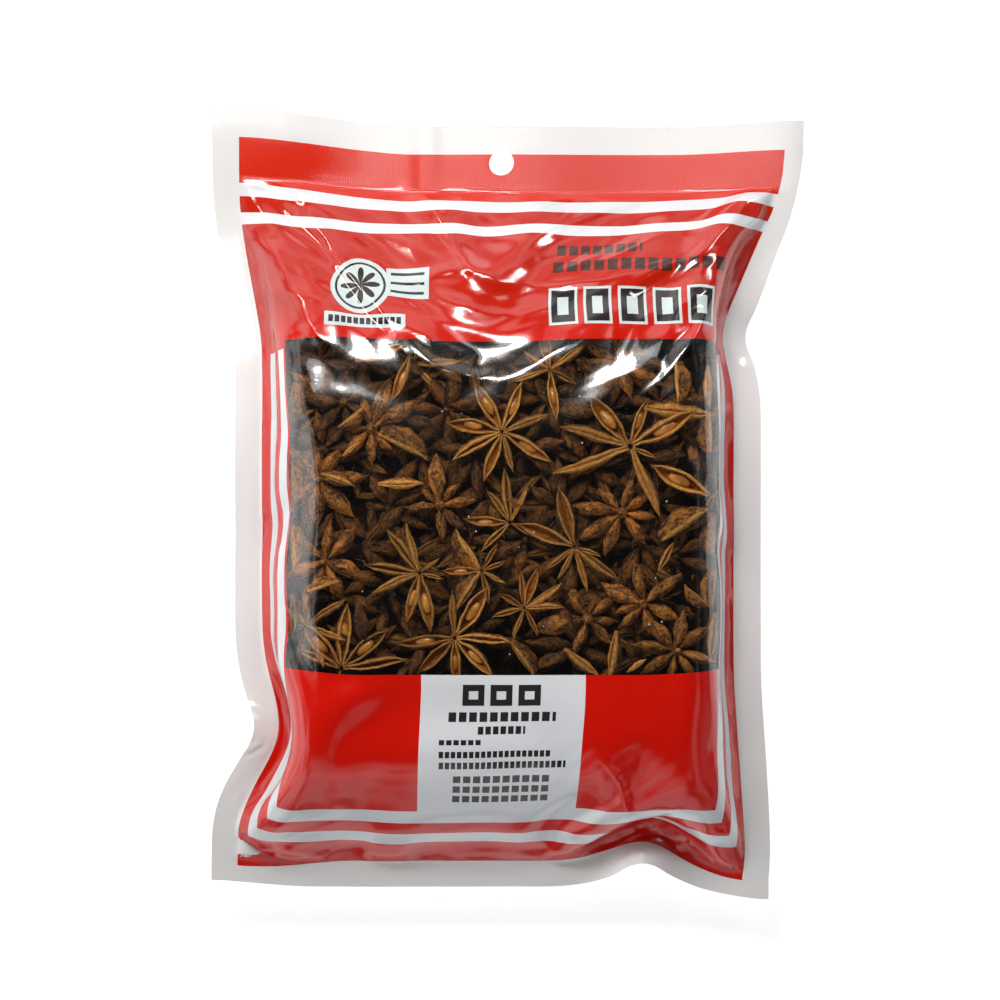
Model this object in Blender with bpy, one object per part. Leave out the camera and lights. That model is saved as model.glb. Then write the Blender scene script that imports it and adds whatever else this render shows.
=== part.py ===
"""A sealed pouch of dried star anise, lying on its back with its printed front up.

X runs across the pouch, Y up its height and Z up from the surface that it lies on, in metres.
The pouch is two films welded together round the edge, with a hang hole in the top weld. Its front
has a clear window. The spice shows there as a heap of its own, which stands in the window.

Both films are worked out from flat coordinates: u across and v along the pouch as it was cut.
"""

import math
import random
from collections import namedtuple

import bmesh
import bpy
import numpy as np
from mathutils import Matrix, Vector
from mathutils.bvhtree import BVHTree

MM = 0.001

# The pouch as cut, before it was filled.
POUCH_WIDTH = 192 * MM
POUCH_HEIGHT = 260 * MM
SIDE_WELD = 8.7 * MM
TOP_WELD = 22.5 * MM
TOP_BORDER = 9.3 * MM
BOTTOM_WELD = 9.0 * MM
WELD_THICKNESS = 1.2 * MM
HANG_HOLE_RADIUS = 4.0 * MM
HANG_HOLE = (0.6 * MM, 109.5 * MM)

# The clear window, in flat coordinates.
WINDOW_U = (-71.0 * MM, 73.5 * MM)
WINDOW_V = (-52.8 * MM, 54.0 * MM)

# The filled pouch: how far each film stands from the plane of the weld.
FRONT_RISE = 22 * MM
BACK_DROP = 25.5 * MM
Slope = namedtuple("Slope", "run power")
# The slopes from the four welds up to the full part. A higher power is steeper at the weld.
LEFT_SLOPE = Slope(22 * MM, 2.0)
RIGHT_SLOPE = Slope(14.5 * MM, 2.0)
TOP_SLOPE = Slope(88 * MM, 3.0)
BOTTOM_SLOPE = Slope(40 * MM, 2.0)
WELD_HEIGHT = 22.5 * MM
TOP_DROOP = 9.5 * MM
BOTTOM_DROOP = 7.5 * MM

# The outline of the filled pouch. Its edges are drawn in where the weld has buckled.
EDGE_LEFT = -93.2 * MM
EDGE_RIGHT = 98.5 * MM
EDGE_TOP = 121.5 * MM
EDGE_BOTTOM = -125.0 * MM
LEFT_DRAWN_IN = 7.8 * MM
RIGHT_DRAWN_IN = 14.5 * MM
LEFT_BUCKLE = 8.5 * MM
RIGHT_BUCKLE = 6.0 * MM
FOOT_BUCKLE = 10.0 * MM

# The heap of star anise.
RECESS_FLOOR = 24.5 * MM
HEAP_GAP = 0.5 * MM
HEAP_CORE_DEPTH = 5.4 * MM
HEAP_CORE_BUMP = 1.0 * MM
STAR_TOP_DEPTH = 1.2 * MM
CARPELS = 8
SHORTEST_ARM = 9
# Sizes of a pod as shares of its length. The last two lie below its seam, as shares of its depth.
CARPEL_WIDTH = 0.31
CARPEL_DEPTH = 0.40
CARPEL_WIDEST = 0.52
CARPEL_TIP_RISE = 0.04
SIDE_BELOW = 0.42
VALLEY_BELOW = 0.5
# How far a seam stands open, 0 to 1: on a star that lies on its face, and at least with a seed.
CLOSED_GAPE = 0.35
SEEDED_GAPE = 0.85
SEED_PLACE = Vector((0.52, 0.0, -0.13))
SEED_HALF = (0.16, 0.085, 0.085)
SEED = 11

GRID_U = 28
GRID_V = 40
SLOPE_POINTS = 60
ABOVE_ALL = 80 * MM
WINDOW_EDGE_POINTS = 13
HOLE_SIDES = 20

RED_PRINT = (0.55, 0.012, 0.008, 1.0)
WHITE_FILM = (0.80, 0.80, 0.79, 1.0)
DRIED_POD = (0.20, 0.085, 0.022, 1.0)

Star = namedtuple("Star", "x y arm turn face")
# The stars that lie against the window: centre and arm length in millimetres, the turn of the
# first arm in degrees, and the side that shows.
FRONT_STARS = (
    Star(0.7, 22.1, 18.0, 20, "open"),
    Star(41.6, 17.4, 23.5, 25, "open"),
    Star(23.8, -14.8, 18.5, 18, "open"),
    Star(-25.6, -22.9, 17.8, 15, "open"),
    Star(-50.7, -50.0, 19.5, 42, "open"),
    Star(-14.5, -41.5, 19.0, 5, "open"),
    Star(-5.9, -22.2, 14.5, 33, "open"),
    Star(15.8, 41.0, 15.5, 10, "open"),
    Star(-19.2, -1.3, 15.5, 4, "back"),
    Star(39.0, -3.9, 16.0, 38, "back"),
    Star(46.1, -32.8, 15.5, 15, "back"),
    Star(56.0, -46.0, 14.2, 35, "back"),
    Star(7.8, -34.2, 13.5, 10, "open"),
    Star(28.1, -39.5, 16.0, 25, "back"),
    Star(-41.0, 23.2, 17.5, 30, "back"),
    Star(-56.0, 5.0, 16.0, 40, "back"),
    Star(3.2, -6.8, 15.0, 15, "open"),
    Star(61.0, -26.0, 14.0, 5, "back"),
    Star(60.0, 3.0, 15.0, 20, "open"),
    Star(-58.0, 31.0, 15.0, 10, "back"),
    Star(-53.0, -19.0, 15.5, 30, "back"),
    Star(58.0, 37.0, 14.5, 33, "back"),
    Star(-25.0, 42.0, 15.0, 30, "open"),
    Star(-40.0, -34.0, 13.5, 0, "back"),
    Star(-19.0, 19.0, 14.0, 15, "back"),
    Star(35.0, 40.0, 14.0, 20, "back"),
    Star(-36.0, 2.0, 13.0, 20, "back"),
)


def smooth(value, start, end):
    """0 at start and 1 at end, with no kink between them. End may be the lower of the two."""
    share = np.clip((value - start) / (end - start), 0.0, 1.0)
    return share * share * (3 - 2 * share)


def bump(value, centre, spread):
    return np.exp(-(((value - centre) / spread) ** 2))


def left_edge(y):
    drawn_in = smooth(y, 99 * MM, 45 * MM) * smooth(y, -112 * MM, -62 * MM)
    return EDGE_LEFT + LEFT_DRAWN_IN * drawn_in


def right_edge(y):
    drawn_in = smooth(y, 112 * MM, 58 * MM)
    return EDGE_RIGHT - RIGHT_DRAWN_IN * drawn_in + 3.0 * MM * smooth(y, -50 * MM, -108 * MM)


def pulls(x, y):
    """How far corners that stay flat and buckles in the weld move the films, in X and in Y."""
    from_left, from_right = x - left_edge(y), right_edge(y) - x
    top, bottom = smooth(y, 52 * MM, EDGE_TOP), smooth(y, -60 * MM, EDGE_BOTTOM)
    left_buckle = LEFT_BUCKLE * bump(y, -75 * MM, 15 * MM) * smooth(from_left, 32 * MM, 0.0)
    right_buckle = RIGHT_BUCKLE * bump(y, 53 * MM, 9 * MM) * smooth(from_right, 26 * MM, 0.0)
    foot_buckle = FOOT_BUCKLE * bump(x, 46 * MM, 11 * MM) * smooth(y, -92 * MM, EDGE_BOTTOM)
    top_left = 6.6 * MM * smooth(x, -24 * MM, -93 * MM) * top
    top_right = 2.0 * MM * smooth(x, 62 * MM, 98 * MM) * top
    bottom_left = 2.4 * MM * smooth(x, -60 * MM, -92 * MM) * bottom
    bottom_right = 4.0 * MM * smooth(x, 56 * MM, 86 * MM) * bottom
    along = foot_buckle + top_left + top_right + bottom_left - bottom_right
    return left_buckle - right_buckle, along


def ramp(share, slope):
    """The side view of a slope: steep where it leaves the weld, level where it ends."""
    return 1.0 - (1.0 - np.clip(share, 0.0, 1.0)) ** slope.power


def slope_run(flat, slope, rise):
    """How far a length of film reaches, seen from above, up a slope of this rise."""
    across = np.linspace(0.0, slope.run, SLOPE_POINTS)
    steps = np.hypot(across[1], np.diff(ramp(across / slope.run, slope)) * rise[..., None])
    along = np.concatenate([0 * steps[..., :1], np.cumsum(steps, -1)], -1)
    step = np.clip((along < flat[..., None]).sum(-1) - 1, 0, len(across) - 2)[..., None]
    start = np.take_along_axis(along, step, -1)[..., 0]
    length = np.take_along_axis(steps, step, -1)[..., 0]
    on_slope = across[step[..., 0]] + (flat - start) / length * across[1]
    return np.where(flat > along[..., -1], slope.run + flat - along[..., -1], on_slope)


def reach(flat, whole, slopes, rise):
    """The reach of the films from each of two facing welds, at a flat distance from the first."""
    middle = np.full_like(flat, whole / 2)
    low_half = slope_run(np.minimum(flat, middle), slopes[0], rise)
    high_half = slope_run(np.minimum(whole - flat, middle), slopes[1], rise)
    total = slope_run(middle, slopes[0], rise) + slope_run(middle, slopes[1], rise)
    low = np.where(flat < middle, low_half, total - high_half)
    return low, total - low


def between(flat, whole, welds, slopes, edges, rise):
    """Where a flat coordinate lies between two edges, and how far each slope has risen there."""
    inner = whole - welds[0] - welds[1]
    low, high = reach(np.clip(flat - welds[0], 0.0, inner), inner, slopes, rise)
    scale = (edges[1] - edges[0] - welds[0] - welds[1]) / (low + high)
    place = edges[0] + welds[0] + low * scale
    place = np.where(flat < welds[0], edges[0] + flat, place)
    place = np.where(flat > whole - welds[1], edges[1] - (whole - flat), place)
    return place, ramp(low / slopes[0].run, slopes[0]) * ramp(high / slopes[1].run, slopes[1])


def across_pouch(u, y, rise):
    edges = (left_edge(y), right_edge(y))
    return between(u + POUCH_WIDTH / 2, POUCH_WIDTH, (SIDE_WELD, SIDE_WELD),
                   (LEFT_SLOPE, RIGHT_SLOPE), edges, rise)


def along_pouch(v, rise):
    return between(v + POUCH_HEIGHT / 2, POUCH_HEIGHT, (BOTTOM_WELD, TOP_WELD),
                   (BOTTOM_SLOPE, TOP_SLOPE), (EDGE_BOTTOM, EDGE_TOP), rise)


def plan(u, v):
    """The place seen from above of flat coordinates, and how full the pouch is there, 0 to 1.

    The film loses reach by climbing only as high as the pouch is full at that row or column.
    """
    whole = np.full_like(u, FRONT_RISE)
    _, full_along = along_pouch(v, whole)
    _, full_across = across_pouch(u, 0 * v, whole)
    y, full_along = along_pouch(v, whole * full_across)
    x, full_across = across_pouch(u, y, whole * full_along)
    across, along = pulls(x, y)
    return x + across, y + along, full_across * full_along


def weld_height(x, y):
    """The height of the plane of the weld, which droops at both ends and is wavy at its edge."""
    top = smooth(y, 40 * MM, 98 * MM)
    bottom = smooth(y, -84 * MM, -124 * MM)
    left_corner = 6.0 * MM * smooth(x, -20 * MM, -93 * MM) * smooth(y, 84 * MM, 126 * MM)
    right_corner = 3.0 * MM * smooth(x, 60 * MM, 98 * MM) * smooth(y, 84 * MM, 126 * MM)
    foot_buckle = 8.0 * MM * bump(x, 46 * MM, 12 * MM) * smooth(y, -98 * MM, -122 * MM)
    left_buckle = 4.0 * MM * bump(y, -75 * MM, 14 * MM) * smooth(x, -58 * MM, -80 * MM)
    right_buckle = 4.0 * MM * bump(y, 53 * MM, 11 * MM) * smooth(x, 62 * MM, 82 * MM)
    waves = 0.8 * MM * np.sin(y / (11 * MM)) * smooth(np.abs(x), 66 * MM, 84 * MM)
    waves += 1.5 * MM * np.sin((x + 20 * MM) / (14 * MM)) * smooth(y, 62 * MM, 98 * MM)
    waves += 1.6 * MM * bump(x, -24 * MM, 5 * MM) * smooth(y, 72 * MM, 98 * MM)
    level = WELD_HEIGHT - TOP_DROOP * top - BOTTOM_DROOP * bottom
    return level + left_corner + right_corner + foot_buckle + left_buckle - right_buckle + waves


Crease = namedtuple("Crease", "height spread path")
# The larger folds, in millimetres: how far each stands up, or sinks in, its half width, and the
# points that it runs through, seen from above.
CREASES = (
    Crease(3.2, 4.5, ((-80, 86), (-68, 78), (-58, 62), (-50, 44))),
    Crease(-2.4, 4.5, ((-76, 96), (-60, 84), (-48, 66), (-40, 48))),
    Crease(3.0, 4.0, ((-70, 98), (-56, 88), (-42, 68), (-30, 56), (-12, 50))),
    Crease(2.6, 4.0, ((-26, 118), (-22, 102), (-14, 88), (-2, 78))),
    Crease(-2.2, 5.0, ((-16, 92), (2, 82), (20, 76))),
    Crease(2.4, 6.0, ((-8, 70), (16, 72), (40, 76), (58, 82), (70, 92))),
    Crease(-2.6, 5.0, ((84, 92), (76, 72), (62, 54), (48, 44))),
    Crease(3.2, 4.5, ((88, 98), (74, 82), (60, 60), (42, 40), (30, 36))),
    Crease(3.0, 4.0, ((84, 84), (78, 66), (68, 52), (56, 34))),
    Crease(2.0, 5.0, ((-34, 52), (-22, 44), (-6, 40))),
    Crease(2.6, 4.5, ((46, -116), (38, -100), (26, -84))),
    Crease(2.4, 4.5, ((48, -116), (58, -98), (68, -84))),
    Crease(-2.0, 6.0, ((46, -104), (48, -90), (44, -74))),
    Crease(2.6, 4.0, ((-86, -112), (-72, -96), (-60, -82))),
    Crease(-2.2, 4.0, ((-88, -98), (-74, -88), (-62, -76))),
    Crease(2.2, 4.0, ((86, -116), (74, -98), (66, -84))),
    Crease(2.0, 4.0, ((-78, -62), (-68, -66), (-60, -70))),
    Crease(1.7, 2.2, ((-72, 40), (-65, 31), (-60, 23), (-57.5, 7), (-57.5, -12), (-61, -26))),
    Crease(1.5, 2.4, ((57, 46), (55.5, 32), (56.5, 18), (63, 4), (66, -10))),
    Crease(3.0, 7.0, ((-68, 60), (-67, 46), (-65, 34), (-62, 20))),
)


def crease(x, y, fold):
    """A fold that stands up along its path and fades out towards both of its ends."""
    path = np.array(fold.path) * MM
    lengths = np.hypot(*np.diff(path, axis=0).T)
    starts = np.concatenate([[0.0], np.cumsum(lengths)]) / lengths.sum()
    nearest, share = np.full(x.shape, np.inf), np.zeros(x.shape)
    for i, (start, end) in enumerate(zip(path, path[1:])):
        along = end - start
        part = ((x - start[0]) * along[0] + (y - start[1]) * along[1]) / (along @ along)
        part = np.clip(part, 0.0, 1.0)
        off = np.hypot(x - start[0] - part * along[0], y - start[1] - part * along[1])
        share = np.where(off < nearest, starts[i] + part * (starts[i + 1] - starts[i]), share)
        nearest = np.minimum(off, nearest)
    fade = smooth(share, 0.0, 0.3) * smooth(share, 1.0, 0.7)
    return fold.height * MM * fade * bump(nearest, 0.0, fold.spread * MM)


def creases(x, y):
    return sum(crease(x, y, fold) for fold in CREASES)


def films(u, v):
    """Points of the front and the back film at flat coordinates, as two arrays."""
    x, y, full = plan(u, v)
    level = weld_height(x, y)
    folds = creases(x, y) * smooth(full, 0.0, 0.2)
    front = level + WELD_THICKNESS / 2 + FRONT_RISE * full + folds
    back = np.maximum(level - WELD_THICKNESS / 2 - BACK_DROP * full, 0.0)
    return np.stack([x, y, front], -1), np.stack([x, y, back], -1)


def grid_lines(whole, low_border, high_border, cells):
    """Flat coordinates of grid lines: one at each border, and even steps between them."""
    inner = np.linspace(low_border, whole - high_border, cells - 1)
    return np.concatenate([[0.0], inner, [whole]]) - whole / 2


def mesh_object(name, points, faces):
    mesh = bpy.data.meshes.new(name)
    mesh.from_pydata([tuple(p) for p in points], [], faces)
    mesh.validate()
    obj = bpy.data.objects.new(name, mesh)
    bpy.context.scene.collection.objects.link(obj)
    return obj


def sheet_pair(top, bottom):
    """The points and faces of a closed solid between two grids of points of the same size."""
    rows, columns = top.shape[:2]
    points = np.concatenate([top.reshape(-1, 3), bottom.reshape(-1, 3)])
    under = rows * columns
    faces = []
    for r in range(rows - 1):
        for c in range(columns - 1):
            a, b = r * columns + c, r * columns + c + 1
            d, e = a + columns, b + columns
            faces.append((a, b, e, d))
            faces.append((under + a, under + d, under + e, under + b))
    rim = [(0, c) for c in range(columns)]
    rim += [(r, columns - 1) for r in range(1, rows)]
    rim += [(rows - 1, c) for c in range(columns - 2, -1, -1)]
    rim += [(r, 0) for r in range(rows - 2, 0, -1)]
    ring = [r * columns + c for r, c in rim]
    for here, there in zip(ring, ring[1:] + ring[:1]):
        faces.append((here, under + here, under + there, there))
    return points, faces


def prism(name, outline, low, high):
    """A closed upright prism on an outline that runs anticlockwise."""
    count = len(outline)
    points = [(x, y, low) for x, y in outline] + [(x, y, high) for x, y in outline]
    faces = [tuple(range(count))[::-1], tuple(range(count, 2 * count))]
    faces += [(i, (i + 1) % count, count + (i + 1) % count, count + i) for i in range(count)]
    return mesh_object(name, points, faces)


def material(name, colour, roughness):
    made = bpy.data.materials.new(name)
    made.use_nodes = True
    surface = made.node_tree.nodes["Principled BSDF"]
    surface.inputs["Base Color"].default_value = colour
    surface.inputs["Roughness"].default_value = roughness
    surface.inputs["Metallic"].default_value = 0.0
    return made


def apply_modifiers(obj):
    graph = bpy.context.evaluated_depsgraph_get()
    made = bpy.data.meshes.new_from_object(obj.evaluated_get(graph))
    obj.modifiers.clear()
    obj.data = made


def keep_largest_body(obj):
    """Fills the sealed pockets that a union leaves inside a solid, by removing their walls."""
    work = bmesh.new()
    work.from_mesh(obj.data)
    unseen = set(work.verts)
    bodies = []
    while unseen:
        body, edge = set(), {unseen.pop()}
        while edge:
            body |= edge
            edge = {e.other_vert(v) for v in edge for e in v.link_edges} - body
        unseen -= body
        bodies.append(body)
    bodies.sort(key=len)
    for body in bodies[:-1]:
        bmesh.ops.delete(work, geom=list(body), context="VERTS")
    work.to_mesh(obj.data)
    work.free()


def cut(obj, cutter):
    modifier = obj.modifiers.new(cutter.name, "BOOLEAN")
    modifier.operation = "DIFFERENCE"
    modifier.solver = "EXACT"
    modifier.object = cutter
    apply_modifiers(obj)
    bpy.data.objects.remove(cutter)


def window_edges():
    """The window's outline seen from above, as its left, right, bottom and top edges."""
    us = np.linspace(*WINDOW_U, WINDOW_EDGE_POINTS)
    vs = np.linspace(*WINDOW_V, WINDOW_EDGE_POINTS)
    left = np.stack(plan(np.full_like(vs, WINDOW_U[0]), vs)[:2], -1)
    right = np.stack(plan(np.full_like(vs, WINDOW_U[1]), vs)[:2], -1)
    bottom = np.stack(plan(us, np.full_like(us, WINDOW_V[0]))[:2], -1)
    top = np.stack(plan(us, np.full_like(us, WINDOW_V[1]))[:2], -1)
    return left, right, bottom, top


def pouch():
    """The filled pouch as one solid, with the recess of its window and its hang hole."""
    us = grid_lines(POUCH_WIDTH, SIDE_WELD, SIDE_WELD, GRID_U)
    vs = grid_lines(POUCH_HEIGHT, BOTTOM_WELD, TOP_BORDER, GRID_V)
    front, back = films(*np.meshgrid(us, vs))
    obj = mesh_object("pouch", *sheet_pair(front, back))
    obj.data.materials.append(material("red_printed_film", RED_PRINT, 0.18))
    obj.data.materials.append(material("white_film", WHITE_FILM, 0.25))
    for face in obj.data.polygons:
        row, column = divmod(face.index // 2, GRID_U)
        printed = 0 < row < GRID_V - 1 and 0 < column < GRID_U - 1 and face.index % 2 == 0
        face.material_index = 0 if printed else 1
    left, right, bottom, top = window_edges()
    outline = np.concatenate([bottom[:-1], right[:-1], top[:0:-1], left[:0:-1]])
    cut(obj, prism("window_cutter", outline, RECESS_FLOOR, ABOVE_ALL))
    turns = np.linspace(0.0, 2 * math.pi, HOLE_SIDES, endpoint=False)
    circle = np.stack([np.cos(turns), np.sin(turns)], -1) * HANG_HOLE_RADIUS + HANG_HOLE
    cut(obj, prism("hang_hole_cutter", circle, 0.0, ABOVE_ALL))
    for face in obj.data.polygons:
        face.use_smooth = True
    obj.data.set_sharp_from_angle(angle=math.radians(40))
    return obj


def film_over(tree, x, y):
    """The point and the normal of the front film above a place."""
    point, normal, _, _ = tree.ray_cast(Vector((x, y, ABOVE_ALL)), Vector((0, 0, -1)))
    return point, normal


def front_tree():
    """The front film as a tree that can be asked for its height."""
    us = np.linspace(-0.5, 0.5, GRID_U * 2) * POUCH_WIDTH
    vs = np.linspace(-0.5, 0.5, GRID_V * 2) * POUCH_HEIGHT
    front, _ = films(*np.meshgrid(us, vs))
    columns = len(us)
    faces = []
    for r in range(len(vs) - 1):
        for c in range(columns - 1):
            a = r * columns + c
            faces.append((a, a + 1, a + columns + 1, a + columns))
    return BVHTree.FromPolygons([tuple(p) for p in front.reshape(-1, 3)], faces)


def star_solid(arms, turns, gapes):
    """A star of boat-shaped pods as points and faces. The seams face up and the keels down.

    Each pod has its own length, direction and gape, which is how far its seam stands open.
    """
    count = len(arms)
    size = max(arms)
    half = CARPEL_WIDTH * size / 2
    deep = CARPEL_DEPTH * size
    side = SIDE_BELOW * deep
    points = [Vector((0, 0, -0.16 * size)), Vector((0, 0, -0.8 * deep))]
    for arm, turn, gape in zip(arms, turns, gapes):
        spin = Matrix.Rotation(math.radians(turn), 3, "Z")
        step = Matrix.Rotation(math.radians(turn - 180 / count), 3, "Z")
        middle = CARPEL_WIDEST * arm
        points += [
            step @ Vector((0.30 * arm, 0, -VALLEY_BELOW * deep)),
            spin @ Vector((middle, -half, -side)),
            spin @ Vector((middle, -half * gape, 0)),
            spin @ Vector((middle, 0, -side * gape)),
            spin @ Vector((middle, half * gape, 0)),
            spin @ Vector((middle, half, -side)),
            spin @ Vector((arm, 0, CARPEL_TIP_RISE * size)),
            spin @ Vector((middle, 0, -deep)),
        ]
    faces = []
    for i in range(count):
        valley, right, lip_r, seam, lip_l, left, tip, keel = range(2 + 8 * i, 10 + 8 * i)
        after = 2 + 8 * ((i + 1) % count)
        faces += [(valley, right, lip_r), (right, tip, lip_r), (lip_r, tip, seam)]
        faces += [(seam, tip, lip_l), (tip, left, lip_l), (left, after, lip_l)]
        faces += [(0, valley, lip_r), (0, lip_r, seam), (0, seam, lip_l), (0, lip_l, after)]
        faces += [(valley, keel, right), (right, keel, tip), (tip, keel, left)]
        faces += [(left, keel, after), (1, keel, valley), (1, after, keel)]
    return points, faces


def seed(arm):
    """A seed in its pod, as an eight-sided solid."""
    points = []
    for axis in range(3):
        for sign in (1, -1):
            offset = Vector((0, 0, 0))
            offset[axis] = sign * SEED_HALF[axis]
            points.append((SEED_PLACE + offset) * arm)
    faces = []
    for a, b, c in ((0, 2, 4), (2, 1, 4), (1, 3, 4), (3, 0, 4)):
        faces.append((a, b, c))
        faces.append((b, a, 5))
    return points, faces


class Heap:
    """Collects the stars that are fused onto the heap's core."""

    def __init__(self, tree):
        self.tree = tree
        self.draw = random.Random(SEED)
        self.collection = bpy.data.collections.new("stars")
        bpy.context.scene.collection.children.link(self.collection)
        left, right, bottom, top = window_edges()
        self.left, self.right = left, right
        self.low = bottom[:, 1].max() + 2 * HEAP_GAP
        self.high = top[:, 1].min() - 2 * HEAP_GAP

    def holds(self, point):
        """True if a point is inside the window, clear of its edge."""
        low_x = np.interp(point.y, self.left[:, 1], self.left[:, 0]) + 2 * HEAP_GAP
        high_x = np.interp(point.y, self.right[:, 1], self.right[:, 0]) - 2 * HEAP_GAP
        return low_x < point.x < high_x and self.low < point.y < self.high

    def excess(self, points):
        """How far the highest of some points stands above the depth that pods keep to."""
        return max(p.z - film_over(self.tree, p.x, p.y)[0].z for p in points) + STAR_TOP_DEPTH

    def add(self, points, faces):
        obj = mesh_object("star", points, faces)
        bpy.context.scene.collection.objects.unlink(obj)
        self.collection.objects.link(obj)

    def star(self, star):
        """A star against the film, with the pods shortened to fit. False if it doesn't fit."""
        point, normal = film_over(self.tree, star.x * MM, star.y * MM)
        arm = star.arm * MM
        face = Matrix.Rotation(math.pi, 4, "X") if star.face == "back" else Matrix.Identity(4)
        upright = Vector((0, 0, 1)).rotation_difference(normal).to_matrix().to_4x4()
        base = Matrix.Translation(point) @ upright @ face
        arms, turns, gapes = [], [], []
        for i in range(CARPELS):
            turn = star.turn + 360 / CARPELS * i + self.draw.uniform(-6, 6)
            length = arm * self.draw.uniform(0.86, 1.04)
            spin = base @ Matrix.Rotation(math.radians(turn), 4, "Z")
            while length > 0.3 * arm and not self.holds(spin @ Vector((length, 0, 0))):
                length *= 0.92
            arms.append(length)
            turns.append(turn)
            gapes.append(self.draw.uniform(0.4, 1.0) if star.face == "open" else CLOSED_GAPE)
        points, faces = star_solid(arms, turns, gapes)
        points = [base @ p for p in points]
        if not all(self.holds(p) for p in points):
            return False
        down = Vector((0, 0, -self.excess(points)))
        self.add([p + down for p in points], faces)
        for length, turn, gape in zip(arms, turns, gapes):
            if gape > SEEDED_GAPE and length > 0.8 * arm:
                spin = base @ Matrix.Rotation(math.radians(turn), 4, "Z")
                points, faces = seed(length)
                self.add([spin @ p + down for p in points], faces)
        return True


def heap_core(tree):
    """The lumpy core under the pods, fitted to the window's recess."""
    us = np.linspace(*WINDOW_U, WINDOW_EDGE_POINTS)
    vs = np.linspace(*WINDOW_V, WINDOW_EDGE_POINTS)
    x, y, _ = plan(*np.meshgrid(us, vs))
    middle_x, middle_y = x.mean(), y.mean()
    x = middle_x + (x - middle_x) * (1 - HEAP_GAP / (x.max() - middle_x))
    y = middle_y + (y - middle_y) * (1 - HEAP_GAP / (y.max() - middle_y))
    draw = random.Random(SEED)
    top = np.stack([x, y, x], -1)
    for row in top:
        for point in row:
            height = film_over(tree, point[0], point[1])[0].z
            low = height - HEAP_CORE_DEPTH + draw.uniform(-HEAP_CORE_BUMP, HEAP_CORE_BUMP)
            point[2] = max(low, RECESS_FLOOR + 3 * MM)
    bottom = np.stack([x, y, np.full_like(x, RECESS_FLOOR + HEAP_GAP)], -1)
    return mesh_object("star_anise", *sheet_pair(top, bottom))


def star_anise():
    """The heap that shows in the window: its core with the pods fused on."""
    tree = front_tree()
    heap = Heap(tree)
    for star in FRONT_STARS:
        while star.arm > SHORTEST_ARM and not heap.star(star):
            star = star._replace(arm=star.arm - 1)
    obj = heap_core(tree)
    modifier = obj.modifiers.new("stars", "BOOLEAN")
    modifier.operation = "UNION"
    modifier.operand_type = "COLLECTION"
    modifier.collection = heap.collection
    modifier.solver = "MANIFOLD"
    apply_modifiers(obj)
    keep_largest_body(obj)
    for pod in list(heap.collection.objects):
        bpy.data.objects.remove(pod)
    bpy.data.collections.remove(heap.collection)
    obj.data.materials.clear()
    obj.data.materials.append(material("dried_pods", DRIED_POD, 0.6))
    return obj


def clear_scene():
    for obj in list(bpy.data.objects):
        bpy.data.objects.remove(obj)


clear_scene()
pouch()
star_anise()
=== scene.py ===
"""The looks of a sealed pouch of dried star anise: printed and clear film, and the pods that show.

Lengths are in metres and MM turns millimetres into them. The films are worked out from flat
coordinates, u across and v along the pouch as it was cut, just as in the model's own solids. They
then settle as sheets that keep their lengths, which makes their smaller folds. The print is a
pattern in the same flat coordinates.
"""

import math
import random
from collections import namedtuple

import bpy
import numpy as np
from mathutils import Matrix, Vector
from mathutils.bvhtree import BVHTree


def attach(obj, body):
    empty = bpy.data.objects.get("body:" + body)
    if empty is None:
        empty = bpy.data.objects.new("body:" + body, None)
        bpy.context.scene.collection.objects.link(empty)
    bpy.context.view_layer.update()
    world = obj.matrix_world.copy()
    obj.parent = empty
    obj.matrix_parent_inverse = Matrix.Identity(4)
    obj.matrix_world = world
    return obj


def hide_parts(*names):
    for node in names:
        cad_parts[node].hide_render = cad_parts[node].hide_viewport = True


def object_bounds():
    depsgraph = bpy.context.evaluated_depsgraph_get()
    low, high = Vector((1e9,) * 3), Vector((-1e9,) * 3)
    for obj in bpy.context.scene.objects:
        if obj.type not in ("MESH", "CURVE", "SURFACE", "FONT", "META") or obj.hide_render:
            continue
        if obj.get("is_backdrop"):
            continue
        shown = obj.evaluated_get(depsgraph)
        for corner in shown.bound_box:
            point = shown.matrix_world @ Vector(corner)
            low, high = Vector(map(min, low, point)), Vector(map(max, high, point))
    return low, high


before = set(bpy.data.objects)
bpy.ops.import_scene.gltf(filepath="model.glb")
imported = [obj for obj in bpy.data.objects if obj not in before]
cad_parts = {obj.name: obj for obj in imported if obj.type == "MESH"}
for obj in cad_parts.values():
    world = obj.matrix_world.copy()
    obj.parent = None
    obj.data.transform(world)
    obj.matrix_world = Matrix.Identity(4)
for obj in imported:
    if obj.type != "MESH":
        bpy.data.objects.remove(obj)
CAD_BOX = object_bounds()

MM = 0.001
SEED = 5

# The camera looks straight down from so far above the weld that its view is nearly flat.
PIXELS = 1000
PIXELS_PER_MM = 3.1
CAMERA_DISTANCE = 1.6
VIEW_CENTRE = (0.0, 0.3 * MM)
SENSOR_MM = 36.0

# The pouch as it was cut, before it was filled, and its filled form.
POUCH_WIDTH = 192 * MM
POUCH_HEIGHT = 260 * MM
SIDE_WELD = 8.7 * MM
TOP_WELD = 22.5 * MM
BOTTOM_WELD = 9.0 * MM
WINDOW_U = (-71.0 * MM, 73.5 * MM)
WINDOW_V = (-52.8 * MM, 54.0 * MM)
FRONT_RISE = 22 * MM
BACK_DROP = 25.5 * MM
Slope = namedtuple("Slope", "run power")
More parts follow.
